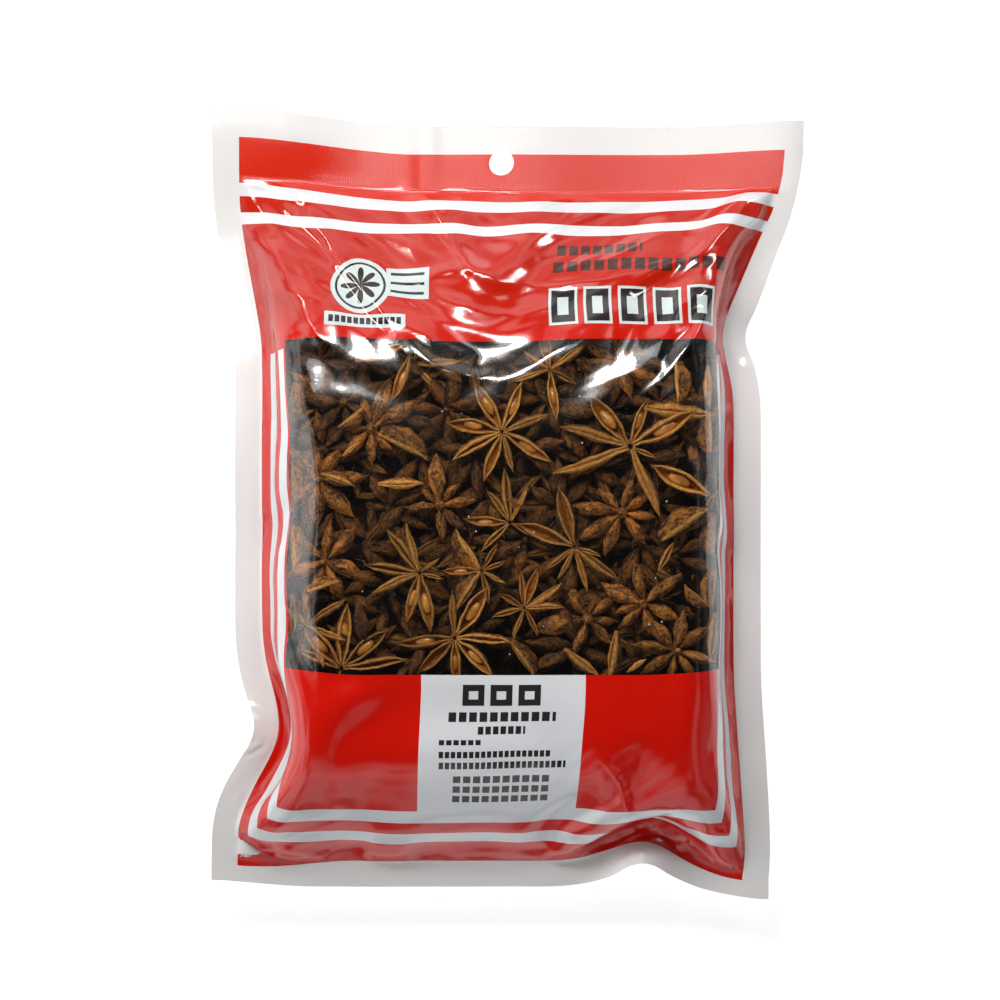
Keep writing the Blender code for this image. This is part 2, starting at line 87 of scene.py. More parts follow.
# The slopes from the four welds up to the full part. A higher power is steeper at the weld.
LEFT_SLOPE = Slope(22 * MM, 2.0)
RIGHT_SLOPE = Slope(14.5 * MM, 2.0)
TOP_SLOPE = Slope(88 * MM, 3.0)
BOTTOM_SLOPE = Slope(40 * MM, 2.0)
WELD_HEIGHT = 22.5 * MM
TOP_DROOP = 9.5 * MM
BOTTOM_DROOP = 7.5 * MM
EDGE_LEFT = -93.2 * MM
EDGE_RIGHT = 98.5 * MM
EDGE_TOP = 121.5 * MM
EDGE_BOTTOM = -125.0 * MM
LEFT_DRAWN_IN = 7.8 * MM
RIGHT_DRAWN_IN = 14.5 * MM
LEFT_BUCKLE = 8.5 * MM
RIGHT_BUCKLE = 6.0 * MM
FOOT_BUCKLE = 10.0 * MM
LEFT_BUCKLE_Y = -75 * MM
RIGHT_BUCKLE_Y = 53 * MM
FOOT_BUCKLE_X = 46 * MM
SLOPE_POINTS = 60


# ---------------------------------------------------------------- the form of the films


def smooth(value, start, end):
    """0 at start and 1 at end, with no kink between them. End may be the lower of the two."""
    share = np.clip((value - start) / (end - start), 0.0, 1.0)
    return share * share * (3 - 2 * share)


def bump(value, centre, spread):
    return np.exp(-(((value - centre) / spread) ** 2))


def left_edge(y):
    drawn_in = smooth(y, 99 * MM, 45 * MM) * smooth(y, -112 * MM, -62 * MM)
    return EDGE_LEFT + LEFT_DRAWN_IN * drawn_in


def right_edge(y):
    drawn_in = smooth(y, 112 * MM, 58 * MM)
    return EDGE_RIGHT - RIGHT_DRAWN_IN * drawn_in + 3.0 * MM * smooth(y, -50 * MM, -108 * MM)


def pulls(x, y):
    """How far corners that stay flat and buckles in the weld move the films, in X and in Y."""
    from_left, from_right = x - left_edge(y), right_edge(y) - x
    top, bottom = smooth(y, 52 * MM, EDGE_TOP), smooth(y, -60 * MM, EDGE_BOTTOM)
    left_buckle = LEFT_BUCKLE * bump(y, LEFT_BUCKLE_Y, 15 * MM) * smooth(from_left, 32 * MM, 0.0)
    right_buckle = RIGHT_BUCKLE * bump(y, RIGHT_BUCKLE_Y, 9 * MM) * smooth(from_right, 26 * MM, 0.0)
    foot_buckle = FOOT_BUCKLE * bump(x, FOOT_BUCKLE_X, 11 * MM) * smooth(y, -92 * MM, EDGE_BOTTOM)
    top_left = 6.6 * MM * smooth(x, -24 * MM, -93 * MM) * top
    top_right = 2.0 * MM * smooth(x, 62 * MM, 98 * MM) * top
    bottom_left = 2.4 * MM * smooth(x, -60 * MM, -92 * MM) * bottom
    bottom_right = 4.0 * MM * smooth(x, 56 * MM, 86 * MM) * bottom
    along = foot_buckle + top_left + top_right + bottom_left - bottom_right
    return left_buckle - right_buckle, along


def ramp(share, slope):
    """The side view of a slope: steep where it leaves the weld, level where it ends."""
    return 1.0 - (1.0 - np.clip(share, 0.0, 1.0)) ** slope.power


def slope_run(flat, slope, rise):
    """How far a length of film reaches, seen from above, up a slope of this rise."""
    across = np.linspace(0.0, slope.run, SLOPE_POINTS)
    steps = np.hypot(across[1], np.diff(ramp(across / slope.run, slope)) * rise[..., None])
    along = np.concatenate([0 * steps[..., :1], np.cumsum(steps, -1)], -1)
    step = np.clip((along < flat[..., None]).sum(-1) - 1, 0, len(across) - 2)[..., None]
    start = np.take_along_axis(along, step, -1)[..., 0]
    length = np.take_along_axis(steps, step, -1)[..., 0]
    on_slope = across[step[..., 0]] + (flat - start) / length * across[1]
    return np.where(flat > along[..., -1], slope.run + flat - along[..., -1], on_slope)


def reach(flat, whole, slopes, rise):
    """The reach of the films from each of two facing welds, at a flat distance from the first."""
    middle = np.full_like(flat, whole / 2)
    low_half = slope_run(np.minimum(flat, middle), slopes[0], rise)
    high_half = slope_run(np.minimum(whole - flat, middle), slopes[1], rise)
    total = slope_run(middle, slopes[0], rise) + slope_run(middle, slopes[1], rise)
    low = np.where(flat < middle, low_half, total - high_half)
    return low, total - low


def between(flat, whole, welds, slopes, edges, rise):
    """Where a flat coordinate lies between two edges, and how far each slope has risen there."""
    inner = whole - welds[0] - welds[1]
    low, high = reach(np.clip(flat - welds[0], 0.0, inner), inner, slopes, rise)
    scale = (edges[1] - edges[0] - welds[0] - welds[1]) / (low + high)
    place = edges[0] + welds[0] + low * scale
    place = np.where(flat < welds[0], edges[0] + flat, place)
    place = np.where(flat > whole - welds[1], edges[1] - (whole - flat), place)
    return place, ramp(low / slopes[0].run, slopes[0]) * ramp(high / slopes[1].run, slopes[1])


def across_pouch(u, y, rise):
    edges = (left_edge(y), right_edge(y))
    return between(u + POUCH_WIDTH / 2, POUCH_WIDTH, (SIDE_WELD, SIDE_WELD),
                   (LEFT_SLOPE, RIGHT_SLOPE), edges, rise)


def along_pouch(v, rise):
    return between(v + POUCH_HEIGHT / 2, POUCH_HEIGHT, (BOTTOM_WELD, TOP_WELD),
                   (BOTTOM_SLOPE, TOP_SLOPE), (EDGE_BOTTOM, EDGE_TOP), rise)


def plan(u, v):
    """The place seen from above of flat coordinates, and how full the pouch is there, 0 to 1.

    The film loses reach by climbing only as high as the pouch is full at that row or column.
    """
    whole = np.full_like(u, FRONT_RISE)
    _, full_along = along_pouch(v, whole)
    _, full_across = across_pouch(u, 0 * v, whole)
    y, full_along = along_pouch(v, whole * full_across)
    x, full_across = across_pouch(u, y, whole * full_along)
    across, along = pulls(x, y)
    return x + across, y + along, full_across * full_along


def weld_height(x, y):
    """The height of the plane of the weld, which droops at both ends and is wavy at its edge."""
    top = smooth(y, 40 * MM, 98 * MM)
    bottom = smooth(y, -84 * MM, -124 * MM)
    left_corner = 6.0 * MM * smooth(x, -20 * MM, -93 * MM) * smooth(y, 84 * MM, 126 * MM)
    right_corner = 3.0 * MM * smooth(x, 60 * MM, 98 * MM) * smooth(y, 84 * MM, 126 * MM)
    foot_buckle = 8.0 * MM * bump(x, FOOT_BUCKLE_X, 12 * MM) * smooth(y, -98 * MM, -122 * MM)
    left_buckle = 4.0 * MM * bump(y, LEFT_BUCKLE_Y, 14 * MM) * smooth(x, -58 * MM, -80 * MM)
    right_buckle = 4.0 * MM * bump(y, RIGHT_BUCKLE_Y, 11 * MM) * smooth(x, 62 * MM, 82 * MM)
    waves = 0.8 * MM * np.sin(y / (11 * MM)) * smooth(np.abs(x), 66 * MM, 84 * MM)
    waves += 1.5 * MM * np.sin((x + 20 * MM) / (14 * MM)) * smooth(y, 62 * MM, 98 * MM)
    waves += 1.6 * MM * bump(x, -24 * MM, 5 * MM) * smooth(y, 72 * MM, 98 * MM)
    level = WELD_HEIGHT - TOP_DROOP * top - BOTTOM_DROOP * bottom
    return level + left_corner + right_corner + foot_buckle + left_buckle - right_buckle + waves


Crease = namedtuple("Crease", "height spread path")
# The larger folds, in millimetres: how far each stands up, or sinks in, its half width, and the
# points that it runs through, seen from above.
CREASES = (
    Crease(3.2, 4.5, ((-80, 86), (-68, 78), (-58, 62), (-50, 44))),
    Crease(-2.4, 4.5, ((-76, 96), (-60, 84), (-48, 66), (-40, 48))),
    Crease(3.0, 4.0, ((-70, 98), (-56, 88), (-42, 68), (-30, 56), (-12, 50))),
    Crease(2.6, 4.0, ((-26, 118), (-22, 102), (-14, 88), (-2, 78))),
    Crease(-2.2, 5.0, ((-16, 92), (2, 82), (20, 76))),
    Crease(2.4, 6.0, ((-8, 70), (16, 72), (40, 76), (58, 82), (70, 92))),
    Crease(-2.6, 5.0, ((84, 92), (76, 72), (62, 54), (48, 44))),
    Crease(3.2, 4.5, ((88, 98), (74, 82), (60, 60), (42, 40), (30, 36))),
    Crease(3.0, 4.0, ((84, 84), (78, 66), (68, 52), (56, 34))),
    Crease(2.0, 5.0, ((-34, 52), (-22, 44), (-6, 40))),
    Crease(2.6, 4.5, ((46, -116), (38, -100), (26, -84))),
    Crease(2.4, 4.5, ((48, -116), (58, -98), (68, -84))),
    Crease(-2.0, 6.0, ((46, -104), (48, -90), (44, -74))),
    Crease(2.6, 4.0, ((-86, -112), (-72, -96), (-60, -82))),
    Crease(-2.2, 4.0, ((-88, -98), (-74, -88), (-62, -76))),
    Crease(2.2, 4.0, ((86, -116), (74, -98), (66, -84))),
    Crease(2.0, 4.0, ((-78, -62), (-68, -66), (-60, -70))),
    Crease(1.7, 2.2, ((-72, 40), (-65, 31), (-60, 23), (-57.5, 7), (-57.5, -12), (-61, -26))),
    Crease(1.5, 2.4, ((57, 46), (55.5, 32), (56.5, 18), (63, 4), (66, -10))),
    Crease(3.0, 7.0, ((-68, 60), (-67, 46), (-65, 34), (-62, 20))),
)


# Narrow folds that the film takes once it has settled.
SHARP_CREASES = (
    Crease(1.4, 2.7, ((-80, 90), (-72, 78), (-66, 66), (-60, 54), (-50, 44))),
    Crease(1.3, 2.4, ((-66, 100), (-60, 91), (-52, 78), (-43, 66), (-32, 54))),
    Crease(0.6, 1.9, ((-34, 58), (-28, 50), (-19, 41), (-6, 39), (0, 43))),
    Crease(0.7, 1.7, ((83, 99), (74, 89), (61, 77), (52, 66))),
    Crease(0.7, 1.9, ((74, 88), (69, 72), (64, 55), (52, 39), (36, 25))),
    Crease(0.6, 1.6, ((0, 68), (16, 69), (32, 71), (48, 75), (61, 78), (69, 74))),
    Crease(0.6, 1.6, ((66, 78), (70, 70), (69, 62), (60, 51), (48, 39))),
    Crease(1.1, 2.2, ((-28, 104), (-20, 92), (-14, 82), (-8, 74), (0, 70))),
    Crease(0.5, 1.6, ((-32, 72), (-24, 72), (-14, 75), (-5, 74), (4, 66))),
    Crease(0.9, 2.0, ((40, -118), (46, -108), (56, -101), (68, -98))),
    Crease(0.8, 1.9, ((50, -120), (60, -110), (72, -107), (80, -104))),
    Crease(0.7, 1.9, ((46, -114), (41, -102), (38, -90), (30, -80))),
    Crease(0.7, 1.9, ((-84, -112), (-76, -103), (-68, -92), (-66, -80))),
)


def crease(x, y, fold):
    """A fold that stands up along its path and fades out towards both of its ends."""
    path = np.array(fold.path) * MM
    lengths = np.hypot(*np.diff(path, axis=0).T)
    starts = np.concatenate([[0.0], np.cumsum(lengths)]) / lengths.sum()
    nearest, share = np.full(x.shape, np.inf), np.zeros(x.shape)
    for i, (start, end) in enumerate(zip(path, path[1:])):
        along = end - start
        part = ((x - start[0]) * along[0] + (y - start[1]) * along[1]) / (along @ along)
        part = np.clip(part, 0.0, 1.0)
        off = np.hypot(x - start[0] - part * along[0], y - start[1] - part * along[1])
        share = np.where(off < nearest, starts[i] + part * (starts[i + 1] - starts[i]), share)
        nearest = np.minimum(off, nearest)
    fade = smooth(share, 0.0, 0.3) * smooth(share, 1.0, 0.7)
    return fold.height * MM * fade * bump(nearest, 0.0, fold.spread * MM)


def creases(x, y, folds=CREASES):
    return sum(crease(x, y, fold) for fold in folds)


def films(u, v):
    """Points of the front and the back film at flat coordinates, as two arrays."""
    x, y, full = plan(u, v)
    level = weld_height(x, y)
    folds = creases(x, y) * smooth(full, 0.0, 0.2)
    front = level + FRONT_RISE * full + folds
    back = np.maximum(level - BACK_DROP * full, 0.0)
    return np.stack([x, y, front], -1), np.stack([x, y, back], -1)


def even_lines(columns, rows):
    """The grid lines of even cells, across and along the whole flat film."""
    us = np.linspace(-0.5, 0.5, columns + 1) * POUCH_WIDTH
    return us, np.linspace(-0.5, 0.5, rows + 1) * POUCH_HEIGHT


def grid_faces(rows, columns):
    """The quads of a grid of points, as an array of indices, facing up."""
    corner = (np.arange(rows - 1)[:, None] * columns + np.arange(columns - 1)).reshape(-1, 1)
    return corner + np.array([0, 1, columns + 1, columns])


# ---------------------------------------------------------------- how the films settle

SHEET_U = 124
SHEET_V = 168
SETTLE_STEPS = 260
PASSES = 5
MOMENTUM = 0.85
EASE = 0.3
HOLD_WELD = 0.3
HOLD_FILM = 0.02
FILM_GAP = 0.1 * MM
STRETCH = 0.03
ROUGHNESS = 1.0 * MM
CRINKLE = 0.2 * MM
# The seeded waves: how many there are, their lengths, and how far they turn, in degrees.
RELIEF_WAVES = 36
RELIEF_LENGTHS = (16 * MM, 46 * MM)
RELIEF_TURNS = (15, 80)
CRINKLE_WAVES = 16
CRINKLE_LENGTHS = (8 * MM, 17 * MM)
CRINKLE_TURNS = (20, 75)
FAN = 14 * MM
CALM = 0.25

Spring = namedtuple("Spring", "rows columns stiffness slack")
# Springs between neighbours of the grid keep the film's length, its shear and its stiffness.
SPRINGS = (
    Spring(0, 1, 1.0, 0.02), Spring(1, 0, 1.0, 0.02),
    Spring(1, 1, 0.6, 0.02), Spring(1, -1, 0.6, 0.02),
    Spring(0, 4, 0.5, 0.03), Spring(4, 0, 0.5, 0.03),
    Spring(0, 8, 0.5, 0.035), Spring(8, 0, 0.5, 0.035),
    Spring(5, 5, 0.4, 0.03), Spring(5, -5, 0.4, 0.03),
)


def fan_waves(u, v, count, lengths, turns):
    """Seeded waves whose crests run from each corner in towards the middle.

    Each comes as the draws that it is made of, how far along it each point is, and its length.
    """
    draw = random.Random(SEED)
    from_middle, from_foot = np.hypot(u, FAN), np.hypot(v, FAN)
    for _ in range(count):
        wave = draw.uniform(*lengths)
        turn = math.radians(draw.uniform(*turns))
        yield draw, from_middle * math.cos(turn) - from_foot * math.sin(turn), wave


def chance_relief(u, v):
    """Fanning waves, about 1 high, for the broad unevenness of the front film."""
    relief = np.zeros_like(u)
    for draw, place, wave in fan_waves(u, v, RELIEF_WAVES, RELIEF_LENGTHS, RELIEF_TURNS):
        phase = draw.uniform(0, 2 * math.pi) + draw.uniform(2, 8) * smooth(u, -30 * MM, 30 * MM)
        phase = phase + draw.uniform(2, 8) * smooth(v, -30 * MM, 30 * MM)
        relief += np.sin(place * 2 * math.pi / wave + phase)
    return relief / math.sqrt(RELIEF_WAVES / 2)


def crinkles(u, v):
    """Sharp little fanning folds, about 1 high, in patches."""
    relief = np.zeros_like(u)
    for draw, place, wave in fan_waves(u, v, CRINKLE_WAVES, CRINKLE_LENGTHS, CRINKLE_TURNS):
        phase = draw.uniform(0, math.pi) + 2.5 * np.sin(v / (34 * MM) + draw.uniform(0, 6))
        ridge = 1.0 - 2.0 * np.abs(np.sin(place * math.pi / wave + phase))
        across = np.sin(u / draw.uniform(9 * MM, 16 * MM) + draw.uniform(0, 6))
        along = np.sin(v / draw.uniform(9 * MM, 16 * MM) + draw.uniform(0, 6))
        relief += ridge * smooth(across * along, 0.2, 0.8)
    return relief


def in_weld(u, v):
    """1 where the two films are welded together and 0 elsewhere."""
    side = np.abs(u) > POUCH_WIDTH / 2 - SIDE_WELD
    return side | (v > POUCH_HEIGHT / 2 - TOP_WELD) | (v < -POUCH_HEIGHT / 2 + BOTTOM_WELD)


def apply_springs(sheets, cell):
    """One pass in which every pair of grid points moves towards its length in the flat film."""
    moves = np.zeros_like(sheets)
    for spring in SPRINGS:
        i, j = spring.rows, abs(spring.columns)
        height, width = sheets.shape[1] - i, sheets.shape[2] - j
        first = (slice(None), slice(0, height), slice(0, width))
        second = (slice(None), slice(i, i + height), slice(j, j + width))
        if spring.columns < 0:
            first, second = (first[0], first[1], second[2]), (second[0], second[1], first[2])
        gap = sheets[second] - sheets[first]
        length = np.sqrt((gap * gap).sum(-1, keepdims=True))
        rest = math.hypot(i * cell[1], j * cell[0])
        goal = np.clip(length, rest * (1 - spring.slack), rest * (1 + STRETCH))
        move = gap * ((length - goal) / length * 0.5 * spring.stiffness)
        moves[first] += move
        moves[second] -= move
    return sheets + moves * EASE


def settled_films():
    """The grid's flat coordinates and both films once they keep their flat lengths."""
    us, vs = even_lines(SHEET_U, SHEET_V)
    u, v = np.meshgrid(us, vs)
    front, back = films(u, v)
    weld = in_weld(u, v)[..., None]
    middle = (front + back) / 2
    goals = np.where(weld, middle, np.stack([front, back]))
    lively = smooth(v, 18 * MM, 48 * MM) + 0.6 * smooth(v, -48 * MM, -62 * MM)
    lively += smooth(np.abs(u), 62 * MM, 76 * MM)
    lively = np.clip(lively, CALM, 1.0) * ~weld[..., 0]
    goals[0, ..., 2] += ROUGHNESS * chance_relief(u, v) * lively
    hold = np.where(weld, HOLD_WELD, HOLD_FILM)
    sheets = goals.copy()
    before = sheets
    cell = (us[1] - us[0], vs[1] - vs[0])
    for _ in range(SETTLE_STEPS):
        ahead = sheets + MOMENTUM * (sheets - before)
        before = sheets
        ahead += hold * (goals - ahead)
        for _ in range(PASSES):
            ahead = apply_springs(ahead, cell)
            ahead = np.where(weld, ahead.mean(0), ahead)
            ahead[..., 2] = np.maximum(ahead[..., 2], 0.0)
        sheets = ahead
    padded = np.pad(sheets, ((0, 0), (1, 1), (1, 1), (0, 0)), "edge")
    level = (padded[:, :-2] + 2 * padded[:, 1:-1] + padded[:, 2:]) / 4
    level = (level[:, :, :-2] + 2 * level[:, :, 1:-1] + level[:, :, 2:]) / 4
    sheets = np.where(weld, sheets, level)
    return us, vs, sheets[0], sheets[1]


def cubic_weights(old, new):
    """A matrix that takes values on an even grid to new places, along a Catmull-Rom curve."""
    place = (new - old[0]) / (old[1] - old[0])
    cell = np.clip(np.floor(place).astype(int), 0, len(old) - 2)
    t = place - cell
    terms = ((-t + 2 * t**2 - t**3) / 2, (2 - 5 * t**2 + 3 * t**3) / 2,
             (t + 4 * t**2 - 3 * t**3) / 2, (t**3 - t**2) / 2)
    weights = np.zeros((len(new), len(old)))
    for step, term in zip((-1, 0, 1, 2), terms):
        np.add.at(weights, (np.arange(len(new)), np.clip(cell + step, 0, len(old) - 1)), term)
    return weights


def resampled(points, old_u, old_v, new_u, new_v):
    """A grid of points on other grid lines."""
    rows, columns = cubic_weights(old_v, new_v), cubic_weights(old_u, new_u)
    return np.einsum("ij,jkc,lk->ilc", rows, points, columns)


def grid_lines(half, breaks, spacing):
    """Lines across the film, about evenly spaced, with one at each of the breaks."""
    stops = [-half, *sorted(breaks), half]
    lines = []
    for low, high in zip(stops, stops[1:]):
        cells = max(1, round((high - low) / spacing))
        lines.append(np.linspace(low, high, cells + 1)[:-1])
    return np.concatenate([*lines, [half]])


def grid_normals(points):
    """The normal at each point of a grid, upward for a front film."""
    across, along = np.gradient(points, axis=1), np.gradient(points, axis=0)
    normals = np.cross(across, along)
    return normals / np.linalg.norm(normals, axis=-1, keepdims=True)


# ---------------------------------------------------------------- nodes and meshes


class Nodes:
    """Builds the nodes of a new material or world. Values are numbers, tuples or sockets."""

    def __init__(self, name, kind="materials"):
        self.owner = getattr(bpy.data, kind).new(name)
        self.owner.use_nodes = True
        self.tree = self.owner.node_tree
        self.tree.nodes.clear()

    def add(self, kind, inputs=None, out=0, **settings):
        node = self.tree.nodes.new(kind)
        for key, value in settings.items():
            setattr(node, key, value)
        for key, value in (inputs or {}).items():
            self.feed(node.inputs[key], value)
        return node.outputs[out]

    def feed(self, socket, value):
        if isinstance(value, bpy.types.NodeSocket):
            self.tree.links.new(value, socket)
        else:
            socket.default_value = value

    def math(self, operation, a, b=0.0):
        return self.add("ShaderNodeMath", {0: a, 1: b}, operation=operation)

    def times(self, a, b):
        return self.math("MULTIPLY", a, b)

    def vector(self, operation, a, b=(0, 0, 0), out=0):
        """A vector operation. Output 1 is that of an operation that gives a number."""
        return self.add("ShaderNodeVectorMath", {0: a, 1: b}, out=out, operation=operation)

    def parts(self, value, kind="ShaderNodeSeparateXYZ"):
        """The three numbers that a vector or a colour is made of."""
        node = self.tree.nodes.new(kind)
        self.tree.links.new(value, node.inputs[0])
        return node.outputs

    def mix(self, share, a, b, blend="MIX"):
        """A mix of two colours. Sockets 0, 6, 7 and output 2 are those of its colour mode."""
        settings = {"data_type": "RGBA", "blend_type": blend, "clamp_factor": True}
        return self.add("ShaderNodeMix", {0: share, 6: a, 7: b}, out=2, **settings)

    def remap(self, value, low, high, to_low=0.0, to_high=1.0):
        inputs = {0: value, 1: low, 2: high, 3: to_low, 4: to_high}
        return self.add("ShaderNodeMapRange", inputs, interpolation_type="SMOOTHSTEP")

    def noise(self, scale, detail=3.0, roughness=0.55, at=None, distortion=0.0):
        inputs = {"Scale": scale, "Detail": detail, "Roughness": roughness}
        inputs["Distortion"] = distortion
        inputs["Vector"] = at or self.position()
        return self.add("ShaderNodeTexNoise", inputs, noise_dimensions="3D")

    def position(self):
        return self.add("ShaderNodeNewGeometry")

    def attribute(self, name, out=0):
        return self.add("ShaderNodeAttribute", out=out, attribute_name=name)

    def bump(self, height, distance, strength=1.0):
        inputs = {"Strength": strength, "Distance": distance, "Height": height}
        return self.add("ShaderNodeBump", inputs)

    def surface(self, shader, output="ShaderNodeOutputMaterial"):
        output = self.tree.nodes.new(output)
        self.tree.links.new(shader, output.inputs["Surface"])
        return self.owner

    def principled(self, inputs):
        return self.surface(self.add("ShaderNodeBsdfPrincipled", inputs))


def linear(*rgb):
    """A colour for a socket from its sRGB values, 0 to 255."""
    shares = [c / 255 for c in rgb]
    curved = [((c + 0.055) / 1.055) ** 2.4 if c > 0.04045 else c / 12.92 for c in shares]
    return (*curved, 1.0)


def mesh_piece(name, points, faces, material, colours=None):
    """A smooth mesh object in the scene, with a colour for each point if they are given.

    A face that repeats a corner is a triangle.
    """
    lists = [list(dict.fromkeys(face)) for face in faces.tolist()]
    mesh = bpy.data.meshes.new(name)
    mesh.from_pydata(points.tolist(), [], lists)
    if colours is not None:
        layer = mesh.color_attributes.new("pod", "FLOAT_COLOR", "POINT")
        layer.data.foreach_set("color", colours.astype(np.float32).ravel())
    mesh.validate()
    mesh.shade_smooth()
    obj = bpy.data.objects.new(name, mesh)
    bpy.context.scene.collection.objects.link(obj)
    obj.data.materials.append(material)
    return obj


def point_values(piece, name, kind, key, values):
    """Keeps a value for each point of a piece, for its material to read."""
    layer = piece.data.attributes.new(name, kind, "POINT")
    layer.data.foreach_set(key, values.astype(np.float32).ravel())


# ---------------------------------------------------------------- star anise pods

POD_STATIONS = 22
POD_RING = 26
DEEP_STATIONS = 10
DEEP_RING = 14
POD_WIDTH = 0.128
POD_DEPTH = 0.36
POD_GAPE = 0.088
LIP = 0.043
POD_RELIEF = 0.018

Kind = namedtuple("Kind", "gape roll seeded")
# What a letter says of a pod: how far its seam stands open, how far the pod has rolled onto its
# side in degrees, and whether its seed is still there.
KINDS = {
    "o": Kind(0.95, 0, True),
    "e": Kind(0.80, 0, False),
    "m": Kind(0.60, 8, True),
    "s": Kind(0.30, 0, False),
    "c": Kind(0.03, 0, False),
    "l": Kind(0.35, 62, False),
    "r": Kind(0.35, -62, False),
}

Star = namedtuple("Star", "x y face depth kinds angles lengths", defaults=(None, None))
# The stars that lie against the window. Centres, depths under the film and pod lengths are in
# millimetres, and angles in degrees from +X. Each letter of kinds is one pod.
STARS = (
    Star(0.7, 22.1, "open", 0.0, "cmoosecm", (20, 65, 119, 168, 206, 252, 285, 329),
         (15.8, 17.1, 18.1, 18.1, 18.4, 16.8, 13.5, 19.0)),
    Star(41.6, 17.4, "open", 0.0, "mmocccs", (26, 72, 129, 162, 203, 292, 335),
         (23.9, 16.5, 21.6, 23.5, 26.1, 24.2, 9.0)),
    Star(-50.7, -53.6, "open", 0.5, "omosss", (132, 85, 42, 6, 157, 250),
         (19.7, 21.1, 19.5, 21.2, 15.6, 16.0)),
    Star(-14.5, -43.7, "open", 1.0, "mcosome", (186, 97, 55, 1, -43, -90, -134),
         (19.0, 15.2, 19.7, 18.4, 17.4, 16.0, 16.5)),
    Star(-25.6, -22.9, "open", 0.0, "scslmosc", (175, 199, 127, 106, 252, 281, 345, 40),
         (18.1, 16.5, 17.3, 16.5, 16.5, 19.4, 8.0, 8.0)),
    Star(-5.9, -22.2, "open", 1.5, "mlssrsc", (181, 124, 57, 18, 238, 285, 330),
         (12.9, 16.1, 10.3, 8.5, 14.9, 11.0, 9.0)),
    Star(3.2, -6.8, "open", 4.0, "mssscs", (180, 224, 95, 123, 60, 330),
         (15.0, 13.0, 17.4, 12.5, 13.0, 10.0)),
    Star(23.8, -14.8, "open", 1.0, "eecccrs", (155, 106, 219, 247, 287, 323, 345),
         (20.0, 20.3, 12.3, 11.8, 14.8, 17.7, 9.0)),
    Star(15.8, 42.2, "open", 1.0, "occmsl", (100, 32, 201, 277, 330, 145),
         (16.0, 15.0, 13.2, 17.0, 10.0, 10.0)),
    Star(7.8, -34.2, "open", 2.5, "sercescs", (98, 72, 31, 6, 150, 195, 250, 300),
         (12.0, 13.5, 14.5, 12.5, 10.0, 11.0, 11.0, 10.0)),
    Star(-19.2, -1.3, "back", 0.5, "ccccccc", (94, 6, 187, 272, 313, 50, 140),
         (16.8, 12.0, 11.3, 12.0, 11.6, 9.5, 9.0)),
    Star(39.0, -3.9, "back", 0.5, "cccccccc", (172, 213, 244, 310, 349, 30, 75, 130),
         (17.7, 17.4, 15.2, 12.5, 11.5, 11.0, 12.0, 11.0)),
    Star(46.1, -32.8, "back", 1.0, "ccccccc", (103, 157, 40, 337, 229, 285, 195),
         (14.5, 15.5, 15.5, 12.5, 11.4, 11.0, 10.0)),
    Star(56.0, -47.9, "back", 0.0, "cccccccc", (171, 131, 76, 35, -14, -54, -99, -143),
         (14.5, 13.7, 13.4, 13.2, 13.5, 11.5, 10.7, 13.5)),
    Star(28.1, -37.5, "back", 1.5, "cccccc", (124, 38, 195, 315, 250, 350),
         (13.0, 12.0, 19.0, 12.0, 13.0, 10.0)),
    Star(-41.0, 23.2, "back", 1.0, "ccccccc", (71, 33, 180, 223, 110, 270, 310),
         (18.0, 18.6, 10.5, 13.0, 11.0, 12.0, 11.0)),
    Star(-57.0, 30.0, "back", 0.5, "ccccccc"),
    Star(-56.0, -19.0, "back", 0.8, "ccccccc"),
    Star(-58.0, 7.0, "back", 1.0, "cccccccc"),
    Star(-62.0, -40.0, "open", 1.5, "cmsescc"),
    Star(59.5, 21.0, "back", 2.0, "ccccccc"),
    Star(62.0, -12.0, "open", 3.0, "smecssc"),
    Star(-28.0, 44.0, "open", 3.0, "cmsescc"),
    Star(38.0, 44.0, "back", 3.0, "ccccccc"),
    Star(53.5, 40.0, "open", 4.0, "cmsescc"),
)

Loose = namedtuple("Loose", "x y toward_x toward_y depth kind roll")
